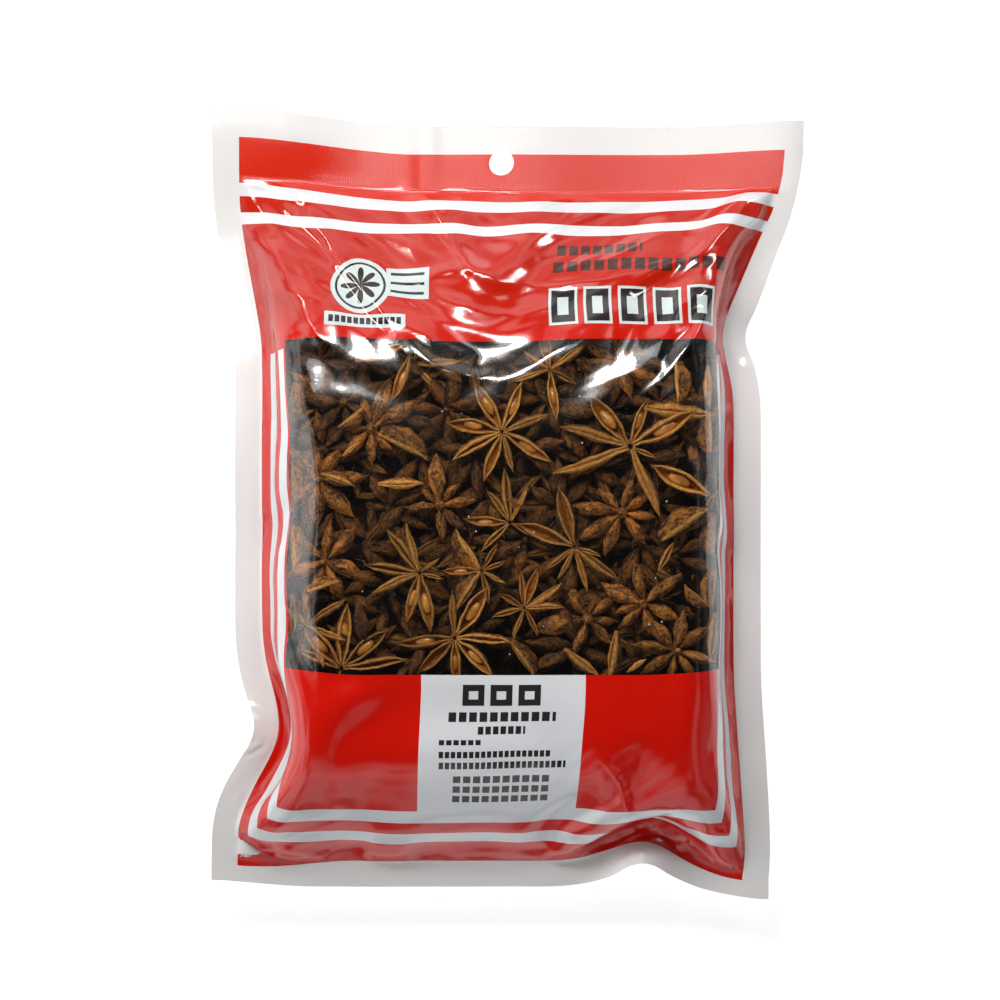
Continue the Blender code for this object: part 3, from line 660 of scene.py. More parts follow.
# Single pods that have come off their star, each from its inner end to its tip.
LOOSE = (
    Loose(-46.2, 44.8, -29.5, 49.2, 0.0, "s", 0),
    Loose(-29.2, 46.0, -33.4, 31.3, 0.5, "m", 0),
    Loose(-38.8, 21.3, -22.5, 13.8, 0.3, "c", 75),
    Loose(67.2, 2.0, 47.6, 10.9, 0.2, "o", 0),
    Loose(56.0, 44.5, 57.0, 31.3, 0.5, "c", 80),
    Loose(51.8, -12.9, 66.5, -2.5, 0.8, "l", 10),
    Loose(-39.0, 5.3, -24.4, 5.3, 1.0, "c", 20),
    Loose(-50.4, 14.3, -44.3, 19.0, 0.5, "c", 0),
    Loose(46.0, 30.0, 67.9, 26.0, 1.5, "c", 0),
    Loose(-43.6, 29.9, -51.4, 23.3, 0.5, "c", 70),
    Loose(-61.5, -29.0, -51.1, -25.7, 0.5, "c", 60),
    Loose(36.9, -41.3, 34.7, -56.5, 0.5, "c", 20),
    Loose(20.5, -47.0, 32.0, -56.0, 0.5, "c", -30),
    Loose(3.0, -45.1, 12.0, -56.0, 0.7, "c", 35),
    Loose(40.4, -54.6, 46.6, -50.3, 0.5, "c", 0),
    Loose(66.0, -33.0, 58.5, -27.0, 0.8, "l", 20),
    Loose(-57.0, 8.6, -45.8, 5.3, 0.2, "c", 40),
    Loose(50.5, -22.5, 55.5, -13.0, 1.5, "s", 0),
    Loose(66.5, 43.5, 66.0, 29.5, 0.8, "c", 60),
    Loose(67.5, 15.5, 67.0, 28.5, 1.0, "s", 30),
    Loose(69.0, -4.0, 68.0, -18.0, 0.8, "c", -50),
    Loose(68.0, -34.0, 69.0, -21.0, 1.0, "c", 40),
    Loose(69.0, -36.0, 67.5, -51.0, 0.8, "s", 20),
    Loose(-66.0, 38.0, -67.5, 24.0, 0.8, "c", 50),
    Loose(-67.0, 0.0, -66.0, 13.0, 1.0, "s", -30),
    Loose(-66.5, -8.0, -66.0, -23.0, 0.8, "c", 20),
    Loose(-66.5, -30.0, -66.0, -44.0, 0.8, "c", -60),
)


def half_sine(share, power):
    return np.sin(math.pi * np.clip(share, 0.0, 1.0)) ** power


def pod_surface(length, gape, plump, draw, stations, ring):
    """The closed skin of one pod along +X, as points, quads and colours.

    Its seam is at the top and its keel below. A plump pod, 1, is broader than a lean one, 0. The
    colours hold how far each point is lip, inside and keel, and the tone of the pod.
    """
    t = np.linspace(0.0, 1.0, stations)[:, None] ** 0.92
    shut = 1.0 - gape
    swell = half_sine(t ** (0.85 + 0.25 * shut), 0.9 + 0.25 * shut)
    lip = LIP * length * (0.55 + 0.45 * half_sine(t, 0.7)) * (1 - 0.75 * smooth(t, 0.8, 1.0))
    seam = gape * POD_GAPE * length * half_sine((t - 0.14) / 0.78, 0.8) + 0.004 * length
    broad = POD_WIDTH * (1 + (0.8 * plump - 0.2) * shut) * draw.uniform(0.85, 1.15)
    wide = broad * length * (0.16 * (1 - t) + swell) + 0.004 * length
    deep = POD_DEPTH * length * draw.uniform(0.85, 1.05) * (0.42 * (1 - t) ** 2 + swell**0.8)
    deep = deep + 0.02 * length
    top = length * (0.035 * half_sine(t, 1.0) + draw.uniform(0.01, 0.07) * smooth(t, 0.8, 1.0))
    outer_top = seam + lip
    wide = np.maximum(wide, 1.04 * outer_top)

    count_out = ring // 2
    count_in = ring - count_out - 2
    turn = np.linspace(0.0, math.pi, count_out)[None, :]
    drop, side = np.sin(turn), np.cos(turn)
    keen = draw.uniform(0.45, 0.85)
    y_out = side * (outer_top + (wide - outer_top) * np.minimum(1.7 * drop, 1.0))
    z_out = top - deep * (keen * (1 - np.abs(side) ** 1.2) + (1 - keen) * drop)
    phase = [draw.uniform(0, 6.28) for _ in range(6)]
    sway = 2.0 * np.sin(t * 5 + phase[0])
    wrinkle = 1.0 - 2.0 * np.abs(np.sin(turn * 3.2 + sway + phase[1]))
    swirl = 1.5 * np.sin(turn * 2 + phase[2])
    wrinkle = wrinkle + 0.8 - 1.6 * np.abs(np.sin(t * 11 + swirl + phase[3]))
    relief = POD_RELIEF * length * wrinkle * drop * smooth(t, 0.0, 0.15) * smooth(t, 1.0, 0.8)
    relief = relief + 0.5 * POD_RELIEF * length * np.sin(t * 7 + phase[4]) * side * drop
    y_out = y_out + relief * side
    z_out = z_out - relief * drop

    turn_in = np.linspace(math.pi, 0.0, count_in)[None, :]
    drop_in, side_in = np.sin(turn_in), np.cos(turn_in)
    hollow = (0.22 + 0.22 * gape) * deep * (0.1 + 0.9 * smooth(gape, 0.0, 0.25))
    floor_wide = np.maximum(wide - 1.6 * lip, seam)
    flank_in = np.sign(side_in) * np.abs(side_in) ** 0.7
    y_in = flank_in * (seam + (floor_wide - seam) * drop_in * gape)
    z_in = top - 0.25 * lip - (hollow - 0.25 * lip) * drop_in
    crest_y = seam + 0.5 * lip
    crest_z = top + 0.3 * lip

    y = np.concatenate([y_out, -crest_y, y_in, crest_y], 1)
    z = np.concatenate([z_out, crest_z, z_in, crest_z], 1)
    x = np.broadcast_to(t * length, y.shape).copy()
    bend, twist = draw.uniform(-0.09, 0.09), draw.uniform(-0.35, 0.35)
    waver = 0.006 * np.sin(t * 9 + phase[0]) + 0.003 * np.sin(t * 19 + phase[5])
    y, z = y + twist * t * z, z - twist * t * y
    y = y + length * (bend * t**2 + waver)
    points = np.stack([x, y, z], -1)

    blank = np.zeros_like(y_out)
    # The lip share also reaches down the top of the outer wall, near the seam: paler lips, partly a
    # painted highlight along their upper edge.
    is_lip = np.concatenate([bump(drop, 0.0, 0.36) + blank, 1 + 0 * crest_y,
                             bump(drop_in, 0.0, 0.25) + 0 * y_in, 1 + 0 * crest_y], 1)
    inside = np.concatenate([blank, 0 * crest_y, 1 + 0 * y_in, 0 * crest_y], 1)
    keel = np.concatenate([drop + blank, 0 * crest_y, 0 * y_in, 0 * crest_y], 1)
    tone = np.full_like(is_lip, draw.uniform(0.72, 1.2))
    colours = np.stack([is_lip, inside, keel, tone], -1)
    return points.reshape(-1, 3), tube_faces(stations, ring), colours.reshape(-1, 4)


def tube_faces(stations, ring):
    """The quads of a closed tube of points, with a fan of triangles over each end."""
    faces = []
    for s in range(stations - 1):
        for i in range(ring):
            j = (i + 1) % ring
            a, b = s * ring, (s + 1) * ring
            faces.append((a + i, b + i, b + j, a + j))
    last = (stations - 1) * ring
    start = [(0, i, i + 1, i + 1) for i in range(1, ring - 1)]
    end = [(last, last + i + 1, last + i, last + i) for i in range(1, ring - 1)]
    return np.array(faces + start + end)


def ball(centre, radii, segments=12, rings=8):
    """A closed ellipsoid with small flat ends, as points and quads."""
    turn = np.linspace(0, 2 * math.pi, segments, endpoint=False)[None, :]
    rise = np.linspace(-0.47, 0.47, rings)[:, None] * math.pi
    x = np.cos(rise) * np.cos(turn)
    y = np.cos(rise) * np.sin(turn)
    z = np.sin(rise) + 0 * turn
    points = np.stack([x, y, z], -1).reshape(-1, 3) * radii + centre
    return points, tube_faces(rings, segments)[:, ::-1]


def tube(path, radii, ring=8):
    """A closed tube along a path of points, as points and quads."""
    path = np.array(path, float)
    points = []
    for i, place in enumerate(path):
        ahead = path[min(i + 1, len(path) - 1)] - path[max(i - 1, 0)]
        turn = Vector(ahead).to_track_quat("X", "Z").to_matrix()
        for k in range(ring):
            angle = 2 * math.pi * k / ring
            off = Vector((0, math.cos(angle), math.sin(angle))) * radii[i]
            points.append(Vector(place) + turn @ off)
    return np.array(points), tube_faces(len(path), ring)[:, ::-1]


class Skins:
    """The two finished films, as trees that can be asked for their heights."""

    def __init__(self, pieces):
        by_name = {piece.name: piece.data for piece in pieces}
        self.front = mesh_tree(by_name["printed_film"], by_name["clear_film"])
        self.back = mesh_tree(by_name["back_film"])

    def room(self, x, y):
        """The lowest and the highest place for what lies between the films at a point."""
        over, lean_over, _, _ = self.front.ray_cast(Vector((x, y, ABOVE_ALL)), DOWN)
        under, lean_under, _, _ = self.back.ray_cast(over, DOWN)
        middle = (under.z + over.z) / 2
        low = min(under.z + BACK_CLEARANCE / max(abs(lean_under.z), STEEPEST), middle)
        return low, max(over.z - FRONT_CLEARANCE / max(abs(lean_over.z), STEEPEST), middle)

    def pressed(self, points):
        """Points of the filling, moved in where they stood out through a film."""
        rooms = np.array([self.room(x, y) for x, y, _ in points.tolist()])
        points[:, 2] = np.maximum(np.minimum(points[:, 2], rooms[:, 1]), rooms[:, 0])
        return points


def mesh_tree(*meshes):
    """The faces of some meshes as one tree."""
    points, faces = [], []
    for mesh in meshes:
        first = len(points)
        points += [vertex.co.copy() for vertex in mesh.vertices]
        faces += [[first + index for index in face.vertices] for face in mesh.polygons]
    return BVHTree.FromPolygons(points, faces)


class Pile:
    """Collects points, faces and colours of many small shapes for one mesh."""

    def __init__(self):
        self.points, self.faces, self.colours, self.grain, self.count = [], [], [], [], 0

    def add(self, points, faces, colours, matrix):
        rotation = np.array(matrix.to_3x3())
        self.points.append(points @ rotation.T + np.array(matrix.translation))
        self.faces.append(faces + self.count)
        self.colours.append(colours)
        self.grain.append(points + 0.04 * len(self.grain))
        self.count += len(points)

    def piece(self, name, material, skins):
        points = skins.pressed(np.concatenate(self.points))
        piece = mesh_piece(name, points, np.concatenate(self.faces), material,
                           np.concatenate(self.colours))
        point_values(piece, "grain", "FLOAT_VECTOR", "vector", np.concatenate(self.grain))
        return piece


def turned(degrees, axis):
    return Matrix.Rotation(math.radians(degrees), 4, axis)


POD_PILES = ("open_pods", "closed_pods", "under_pods", "deep_pods")
CLOSED_BELOW = 0.2
# In millimetres: half the width and height of the room for the heap, how near its side a star's
# centre may be, the shortest pod, and the lengths of the pods whose star gives none.
ROOM = (72.0, 60.0)
ROOM_MARGIN = 5.0
POD_SHORTEST = 4.0
POD_LENGTHS = (12.5, 17.5)
# In degrees: by how much a pod's direction, roll and droop are moved by chance.
SPREAD_CHANCE = (-9, 9)
ROLL_CHANCE = (-9, 9)
DROOP_CHANCE = (-3, 6)
# Shares of a star's size or of a pod's length.
HUB = 0.03
RISE = 0.05
HUB_RADII = (0.10, 0.10, 0.10)
SEED_PLACE = (0.5, 0, -0.06)
SEED_RADII = (0.185, 0.085, 0.065)
# Rays are cast down from this height, which is above the whole pouch.
ABOVE_ALL = 0.1
DOWN = Vector((0, 0, -1))
TREE_U = 128
TREE_V = 160
STEEPEST = 0.3
FRONT_CLEARANCE = 0.9 * MM
BACK_CLEARANCE = 3.0 * MM
OPEN_TONE = 0.8
BACK_TONE = 1.35


def fitted(star, angle, length):
    """A pod's length in millimetres, less what would stand beyond the room for the heap."""
    across, along = math.cos(math.radians(angle)), math.sin(math.radians(angle))
    room_x = (math.copysign(ROOM[0], across) - star.x) / across if abs(across) > 0.01 else length
    room_y = (math.copysign(ROOM[1], along) - star.y) / along if abs(along) > 0.01 else length
    return max(POD_SHORTEST, min(length, room_x, room_y))


def leaning(normal):
    """The smallest turn that takes +Z onto a normal."""
    return Vector((0, 0, 1)).rotation_difference(normal).to_matrix().to_4x4()


class Heap:
    """Puts stars and pods under the film, and gathers their meshes by kind."""

    def __init__(self):
        self.draw = random.Random(SEED)
        self.tree = film_tree()
        self.piles = {name: Pile() for name in (*POD_PILES, "stems", "seeds")}

    def film(self, x, y):
        """The point and the normal of the front film above a place, or None outside it."""
        point, normal, _, _ = self.tree.ray_cast(Vector((x, y, ABOVE_ALL)), DOWN)
        return point, normal

    def lowered(self, base, reaches, depth):
        """The matrix moved down until all its tips are at least depth under the film."""
        excess = 0.0
        for local in reaches:
            place = base @ local
            point, _ = self.film(place.x, place.y)
            under = point.z if point else WELD_HEIGHT
            excess = max(excess, place.z - under + depth)
        return Matrix.Translation((0, 0, -excess)) @ base

    def pod(self, matrix, length, kind, plump, tone, layer):
        """One pod whose inner end is at the matrix's origin, and its seed."""
        stations, ring = (POD_STATIONS, POD_RING) if layer == 0 else (DEEP_STATIONS, DEEP_RING)
        gape = kind.gape * self.draw.uniform(0.85, 1.1)
        points, faces, colours = pod_surface(length, gape, plump, self.draw, stations, ring)
        colours[:, 3] *= tone
        pile = self.piles[POD_PILES[layer + 1 if layer or gape < CLOSED_BELOW else 0]]
        side = kind.roll + self.draw.uniform(*ROLL_CHANCE)
        rolled = matrix @ turned(side, "X")
        pile.add(points, faces, colours, rolled)
        if kind.seeded and layer < 2:
            centre = np.array(SEED_PLACE) * length
            points, faces = ball(centre, np.array(SEED_RADII) * length)
            self.piles["seeds"].add(points, faces, flat_colour(len(points), tone), rolled)

    def star(self, star, layer=0, tone=1.0, tilt=5.0):
        """A star of pods round a hub. An open one shows its seams, and a back one its keels."""
        draw = self.draw
        count = len(star.kinds)
        first = draw.uniform(0, 45)
        angles = star.angles or [first + 360 / count * i + draw.uniform(*SPREAD_CHANCE)
                                 for i in range(count)]
        lengths = star.lengths or [draw.uniform(*POD_LENGTHS) for _ in range(count)]
        lengths = [fitted(star, angle, length) for angle, length in zip(angles, lengths)]
        size = max(lengths) * MM
        if abs(star.x) > ROOM[0] - ROOM_MARGIN:
            return
        point, normal = self.film(star.x * MM, star.y * MM)
        upright = leaning(normal)
        lean = turned(draw.uniform(-tilt, tilt), "X") @ turned(draw.uniform(-tilt, tilt), "Y")
        base = Matrix.Translation(point) @ upright @ lean
        rise, plump = RISE * size, 0.1 + 0.7 * (layer > 0)
        if star.face == "back":
            rise, plump = POD_DEPTH * size, 1.0
        if layer == 0:
            tone *= BACK_TONE if star.face == "back" else OPEN_TONE
        pods = list(zip(angles, lengths))
        reaches = [turned(a, "Z") @ Vector((l * MM, 0, RISE * size)) for a, l in pods]
        reaches += [turned(a, "Z") @ Vector((l * MM * 0.5, 0, rise)) for a, l in pods]
        base = self.lowered(base, reaches, (1.0 + star.depth) * MM)
        for angle, length, letter in zip(angles, lengths, star.kinds):
            matrix = base @ turned(angle, "Z")
            if star.face == "back":
                matrix = matrix @ turned(180, "X")
            droop = draw.uniform(*DROOP_CHANCE)
            matrix = matrix @ turned(droop, "Y") @ Matrix.Translation((HUB * size, 0, 0))
            self.pod(matrix, length * MM - HUB * size, KINDS[letter], plump, tone, layer)
        self.hub(base, size, star.face, tone)

    def hub(self, base, size, face, tone):
        """The column that the pods of a star grow from, with its stalk on the back."""
        sign = 1 if face == "back" else -1
        middle = np.array([0, 0, (0.10 if sign > 0 else -0.16) * size])
        points, faces = ball(middle, np.array(HUB_RADII) * size)
        self.piles["stems"].add(points, faces, flat_colour(len(points), tone * 0.8), base)
        if sign > 0:
            bend = self.draw.uniform(-0.1, 0.1) * size
            shares = np.linspace(0, 1, 5)
            path = [(bend * s * s, 0.3 * bend * s, (0.12 + 0.16 * s) * size) for s in shares]
            points, faces = tube(path, np.linspace(0.065, 0.05, 5) * size)
            self.piles["stems"].add(points, faces, flat_colour(len(points), tone), base)

    def loose(self, item):
        """A pod that lies by itself under the film."""
        start, _ = self.film(item.x * MM, item.y * MM)
        end, _ = self.film(item.toward_x * MM, item.toward_y * MM)
        middle = (start + end) / 2
        _, normal = self.film(middle.x, middle.y)
        length = (end - start).length
        ahead = (end - start).normalized()
        side = normal.cross(ahead).normalized()
        upright = Matrix((ahead, side, ahead.cross(side))).transposed().to_4x4()
        base = Matrix.Translation(start) @ upright
        kind = KINDS[item.kind]
        rise = (RISE + POD_WIDTH * abs(math.sin(math.radians(kind.roll + item.roll)))) * length
        reaches = [Vector((share * length, 0, rise)) for share in (0.0, 0.25, 0.5, 0.75, 1.0)]
        base = self.lowered(base, reaches, (1.0 + item.depth) * MM)
        self.pod(base, length, kind._replace(roll=kind.roll + item.roll), 0.6, 1.0, 0)


def flat_colour(count, tone):
    return np.tile(np.array([0.0, 0.0, 0.6, tone]), (count, 1))


def film_tree():
    """The front film before it settled, as a tree that can be asked for its height."""
    us, vs = even_lines(TREE_U, TREE_V)
    front, _ = films(*np.meshgrid(us, vs))
    faces = grid_faces(len(vs), len(us))
    return BVHTree.FromPolygons(front.reshape(-1, 3).tolist(), faces.tolist())


# ---------------------------------------------------------------- materials


def pod_material():
    """Dried pod: orange-brown lips, a smooth warm inside and a dull wrinkled outside."""
    n = Nodes("dried_pod")
    lip, inside, keel = n.parts(n.attribute("pod"), "ShaderNodeSeparateColor")
    tone = n.attribute("pod", out=3)
    grain = n.vector("MULTIPLY", n.attribute("grain", out=1), (0.55, 1.0, 1.0))
    creased = n.noise(1300.0, 6.0, 0.62, at=grain, distortion=0.8)
    patches = n.noise(330.0, 3.0, 0.6, at=grain, distortion=0.5)
    fine = n.noise(3200.0, 3.0, 0.6, at=grain)
    # The wrinkle noise that makes the bump also colours the outside: darker in its creases, lighter
    # and oranger on its ridges. That is painted shade and painted highlight, mixed with real
    # patches of colour.
    crease_shade_and_patches = n.math("ADD", n.times(creased, 0.6), n.times(patches, 0.4))
    outer = n.mix(n.remap(crease_shade_and_patches, 0.40, 0.60), linear(40, 23, 13), linear(188, 124, 54))
    warm = n.times(n.remap(patches, 0.5, 0.62), n.remap(creased, 0.45, 0.6))
    outer = n.mix(n.times(warm, 0.8), outer, linear(214, 122, 28))
    outer = n.mix(n.times(keel, 0.1), outer, linear(110, 74, 50))
    # The inside and the rims are darker where the wrinkle noise sinks: painted shade in the
    # creases.
    inner = n.mix(n.remap(creased, 0.35, 0.65), linear(140, 82, 24), linear(206, 132, 46))
    rim = n.mix(n.remap(creased, 0.35, 0.65), linear(198, 124, 46), linear(246, 186, 98))
    base = n.mix(inside, outer, inner)
    # Lips take the pale rim colour: partly their own paler colour, partly a painted highlight on
    # their upper edges.
    base = n.mix(n.remap(lip, 0.35, 0.9), base, rim)
    grey = n.add("ShaderNodeCombineColor", {0: tone, 1: tone, 2: tone})
    base = n.mix(1.0, base, grey, "MULTIPLY")
    rough = n.math("SUBTRACT", 0.74, n.times(inside, 0.3))
    outside = n.math("SUBTRACT", 1.0, n.times(inside, 0.8))
    height = n.math("ADD", n.times(creased, outside), n.times(fine, 0.12))
    normal = n.bump(height, 1.1 * MM, 1.0)
    inputs = {"Base Color": base, "Roughness": rough, "Normal": normal, "Specular IOR Level": 0.25}
    return n.principled(inputs)


def seed_material():
    """A hard, glossy brown seed."""
    n = Nodes("seed")
    shade = n.remap(n.noise(300.0, 2.0), 0.3, 0.7)
    base = n.mix(shade, linear(170, 106, 34), linear(212, 146, 62))
    inputs = {"Base Color": base, "Roughness": 0.28, "Coat Weight": 0.3, "Coat Roughness": 0.12}
    return n.principled(inputs)


class Print(Nodes):
    """A material whose pattern is laid out in millimetres of the flat film."""

    def __init__(self, name):
        super().__init__(name)
        self.flat = self.attribute("flat", out=1)
        self.u, self.v = self.parts(self.flat)[:2]

    def box(self, left, right, low, high):
        """1 inside a rectangle and 0 outside it."""
        centre = ((left + right) / 2, (low + high) / 2, 0)
        half = ((right - left) / 2, (high - low) / 2, 0)
        off = self.vector("ABSOLUTE", self.vector("SUBTRACT", self.flat, centre))
        room = self.parts(self.vector("SUBTRACT", half, off))
        return self.math("GREATER_THAN", self.math("MINIMUM", room[0], room[1]), 0.0)

    def disc(self, u, v, radius):
        """1 inside a circle and 0 outside it."""
        off = self.vector("SUBTRACT", self.flat, (u, v, 0))
        return self.math("LESS_THAN", self.vector("LENGTH", off, out=1), radius)

    def dashes(self, left, right, low, high, pitch, filled=0.74):
        """A row of equal short dashes."""
        share = self.math("FRACT", self.math("DIVIDE", self.math("SUBTRACT", self.u, left), pitch))
        dash = self.math("LESS_THAN", share, filled)
        return self.times(dash, self.box(left, right, low, high))

    def petals(self, u, v, radius):
        """A plain star of eight petals."""
        off = self.vector("SUBTRACT", self.flat, (u, v, 0))
        across, along, _ = self.parts(off)
        turn = self.times(self.math("ARCTAN2", along, across), 4.0)
        petal = self.math("POWER", self.math("ABSOLUTE", self.math("COSINE", turn)), 0.8)
        reach_out = self.times(petal, radius)
        return self.math("LESS_THAN", self.vector("LENGTH", off, out=1), reach_out)

    def near(self, value, middle, reach):
        """1 within reach of the middle and 0 beyond it."""
        return self.add("ShaderNodeMath", {0: value, 1: middle, 2: reach}, operation="COMPARE")

    def either(self, *masks):
        total = masks[0]
        for mask in masks[1:]:
            total = self.math("MAXIMUM", total, mask)
        return total

    def less(self, mask, hole):
        return self.times(mask, self.math("SUBTRACT", 1.0, hole))


def printed_material():
    """The printed film: red fields and white frames with dark marks, under a clear gloss."""
    n = Print("printed_film")
    wider = n.remap(n.v, 50.0, 118.0, 87.3, 90.0)
    lower = n.remap(n.math("ABSOLUTE", n.u), 45.0, 86.0, -121.6, -124.6)
    block = n.times(n.box(-87.3, 95.0, -128.0, 120.8), n.math("LESS_THAN", n.u, wider))
    block = n.times(block, n.math("GREATER_THAN", n.v, lower))
    bowed = n.math("SUBTRACT", n.v, n.times(n.times(n.u, n.u), 0.00023))
    stripes = n.times(n.either(n.near(bowed, 102.85, 2.05), n.near(bowed, 93.9, 1.85)), block)
    outer = n.less(n.box(-83.0, 83.0, -112.4, 51.6), n.box(-79.3, 79.3, -107.9, 51.6))
    inner = n.less(n.box(-75.5, 75.5, -103.0, 51.6), n.box(-71.9, 71.9, -98.0, 51.6))
    white = n.either(stripes, outer, inner, n.box(-25.5, 26.5, -100.0, -52.0))
    red = n.less(block, white)
    # The white border is darker towards the top, where the light is strongest: painted shade.
    border = n.mix(n.remap(n.v, 60.0, 105.0), linear(234, 233, 232), linear(221, 220, 219))
    bare = n.mix(block, border, linear(216, 219, 223))
    # The red is darker over the header and lighter and oranger on the top weld: painted shade and
    # painted sheen that follow how the light falls there.
    hue = n.mix(n.remap(n.v, 40.0, 70.0), linear(204, 19, 6), linear(180, 28, 8))
    hue = n.mix(n.remap(n.v, 98.0, 108.0), hue, linear(206, 38, 14))
    colour = n.mix(red, bare, hue)
    for mask, shade in header_marks(n) + panel_marks(n):
        colour = n.mix(mask, colour, shade)
    colour = n.mix(n.attribute("under"), colour, linear(225, 225, 225))
    inputs = {"Base Color": colour, "Roughness": n.remap(n.noise(60.0, 2.0), 0.3, 0.7, 0.12, 0.18)}
    inputs["Specular IOR Level"] = 0.5
    inputs["IOR"] = 1.5
    inputs["Coat Weight"] = 0.65
    inputs["Coat Roughness"] = 0.05
    inputs["Coat IOR"] = 1.45
    inputs["Normal"] = n.bump(emboss(n), 0.04 * MM, 0.8)
    return n.principled(inputs)


# How fast the waves of the pressed mesh turn, in radians for each millimetre.
MESH_TURNS = 5.6


def emboss(n):
    """The fine mesh pressed into the two end welds."""
    top = n.math("GREATER_THAN", n.v, (POUCH_HEIGHT / 2 - TOP_WELD) / MM)
    bottom = n.math("LESS_THAN", n.v, (BOTTOM_WELD - POUCH_HEIGHT / 2) / MM)
    across = n.math("SINE", n.times(n.math("ADD", n.u, n.v), MESH_TURNS))
    along = n.math("SINE", n.times(n.math("SUBTRACT", n.u, n.v), MESH_TURNS))
    return n.times(n.times(across, along), n.math("ADD", top, bottom))


def header_marks(n):
    """Plain shapes in the header: a badge with a star pictogram, rows of dashes and blocks."""
    ink, pale, dark = linear(72, 34, 26), linear(196, 208, 208), linear(40, 32, 30)
    u, v = -45.4, 72.6
    plates = (n.box(-56.8, -30.6, 57.7, 62.2), n.box(-37, -23, 68.6, 79.6))
    badge = n.either(n.disc(u, v, 9.8), *plates)
    ring = n.less(n.disc(u, v, 8.3), n.disc(u, v, 7.5))
    lines = [n.box(-35.5, -24.5, low, low + 1.0) for low in (70.2, 73.6, 77.0)]
    caption = n.dashes(-55.5, -31.5, 58.8, 61.1, 2.0)
    rows = n.either(n.dashes(18.1, 46.2, 84.6, 88.4, 3.9), n.dashes(17.1, 75.0, 77.6, 82.0, 4.5))
    blocks, edges = [], []
    for left, right in ((16.8, 24.4), (28.2, 35.6), (39.6, 47.2), (51.2, 58.8), (62.6, 70.2)):
        edges.append(n.box(left - 0.9, right + 0.9, 59.0, 71.8))
        hole = n.box(left + 2, right - 2, 62.4, 68.4)
        blocks.append(n.less(n.box(left, right, 59.9, 70.9), hole))
    return [(badge, pale), (n.either(ring, n.petals(u, v, 6.4), caption, *lines), dark),
            (rows, ink), (n.either(*edges), pale), (n.either(*blocks), dark)]


def panel_marks(n):
    """Blocks and rows of dashes on the label panel."""
    ink = linear(40, 40, 42)
    lefts = (-12.3, -3.4, 5.5)
    squares = [n.box(left, left + 7.0, -62.4, -55.8) for left in lefts]
    holes = [n.box(left + 2, left + 5, -60.4, -57.8) for left in lefts]
    rows = ((-16.5, 17.6, -67.4, -64.4, 3.3), (-7.0, 8.1, -71.4, -68.9, 2.4),
            (-19.2, -5.4, -74.6, -73.0, 2.3), (-19.1, 16.6, -78.6, -76.6, 1.9),
            (-19.0, 21.7, -82.2, -80.0, 1.9))
    rows = n.either(*(n.dashes(*row) for row in rows))
    foot = n.either(*(n.dashes(-14.4, 17.6, low, low + 2.4, 3.2) for low in (-94.2, -90.6, -87.0)))
    marks = n.either(n.less(n.either(*squares), n.either(*holes)), rows, foot)
    return [(marks, ink)]


def clear_material():
    """Clear film: it lets light straight through and mirrors more of it at a slant."""
    n = Nodes("clear_film")
    slant = n.add("ShaderNodeLayerWeight", {"Blend": 0.5}, out=1)
    mirrored = n.math("ADD", n.times(n.math("POWER", slant, 3.0), 0.5), 0.08)
    inner_side = n.times(n.attribute("under", out=2), 0.8)
    mirrored = n.times(mirrored, n.math("SUBTRACT", 1.0, inner_side))
    through = n.add("ShaderNodeBsdfTransparent", {"Color": (0.96, 0.96, 0.96, 1)})
    crisp, soft = (n.add("ShaderNodeBsdfGlossy", {"Color": (1, 1, 1, 1), "Roughness": rough})
                   for rough in (0.06, 0.2))
    gloss = n.add("ShaderNodeMixShader", {0: 0.4, 1: crisp, 2: soft})
    film = n.add("ShaderNodeMixShader", {0: mirrored, 1: through, 2: gloss})
    cells, kept = (n.add("ShaderNodeTexVoronoi", {"Vector": n.position(), "Scale": 210.0}, out)
                   for out in (0, 1))
    speck = n.math("LESS_THAN", cells, 0.055)
    speck = n.times(n.times(speck, n.math("GREATER_THAN", kept, 0.62)), 0.6)
    dust = n.add("ShaderNodeBsdfDiffuse", {"Color": linear(226, 222, 216)})
    return n.surface(n.add("ShaderNodeMixShader", {0: speck, 1: film, 2: dust}))


def backing_material():
    """The plain back film, milky white and faintly uneven."""
    n = Nodes("back_film")
    shade = n.remap(n.noise(35.0, 3.0), 0.3, 0.7)
    colour = n.mix(shade, linear(226, 226, 226), linear(238, 238, 238))
    inputs = {"Base Color": colour, "Roughness": 0.28}
    return n.principled(inputs)


def floor_material():
    n = Nodes("floor")
    inputs = {"Base Color": linear(236, 236, 236), "Roughness": 0.9}
    inputs.update({"Emission Color": (1, 1, 1, 1), "Emission Strength": 0.6})
    return n.principled(inputs)


# ---------------------------------------------------------------- the pieces


CORE_DEPTH = 14.0 * MM
CORE_ROUGHNESS = 1.5
CORE_SPACING = 2.5 * MM
CORE_HALF = (72.5 * MM, 62.0 * MM)
CORE_LEAST = 1.0 * MM
CORE_COVER = 4.0 * MM


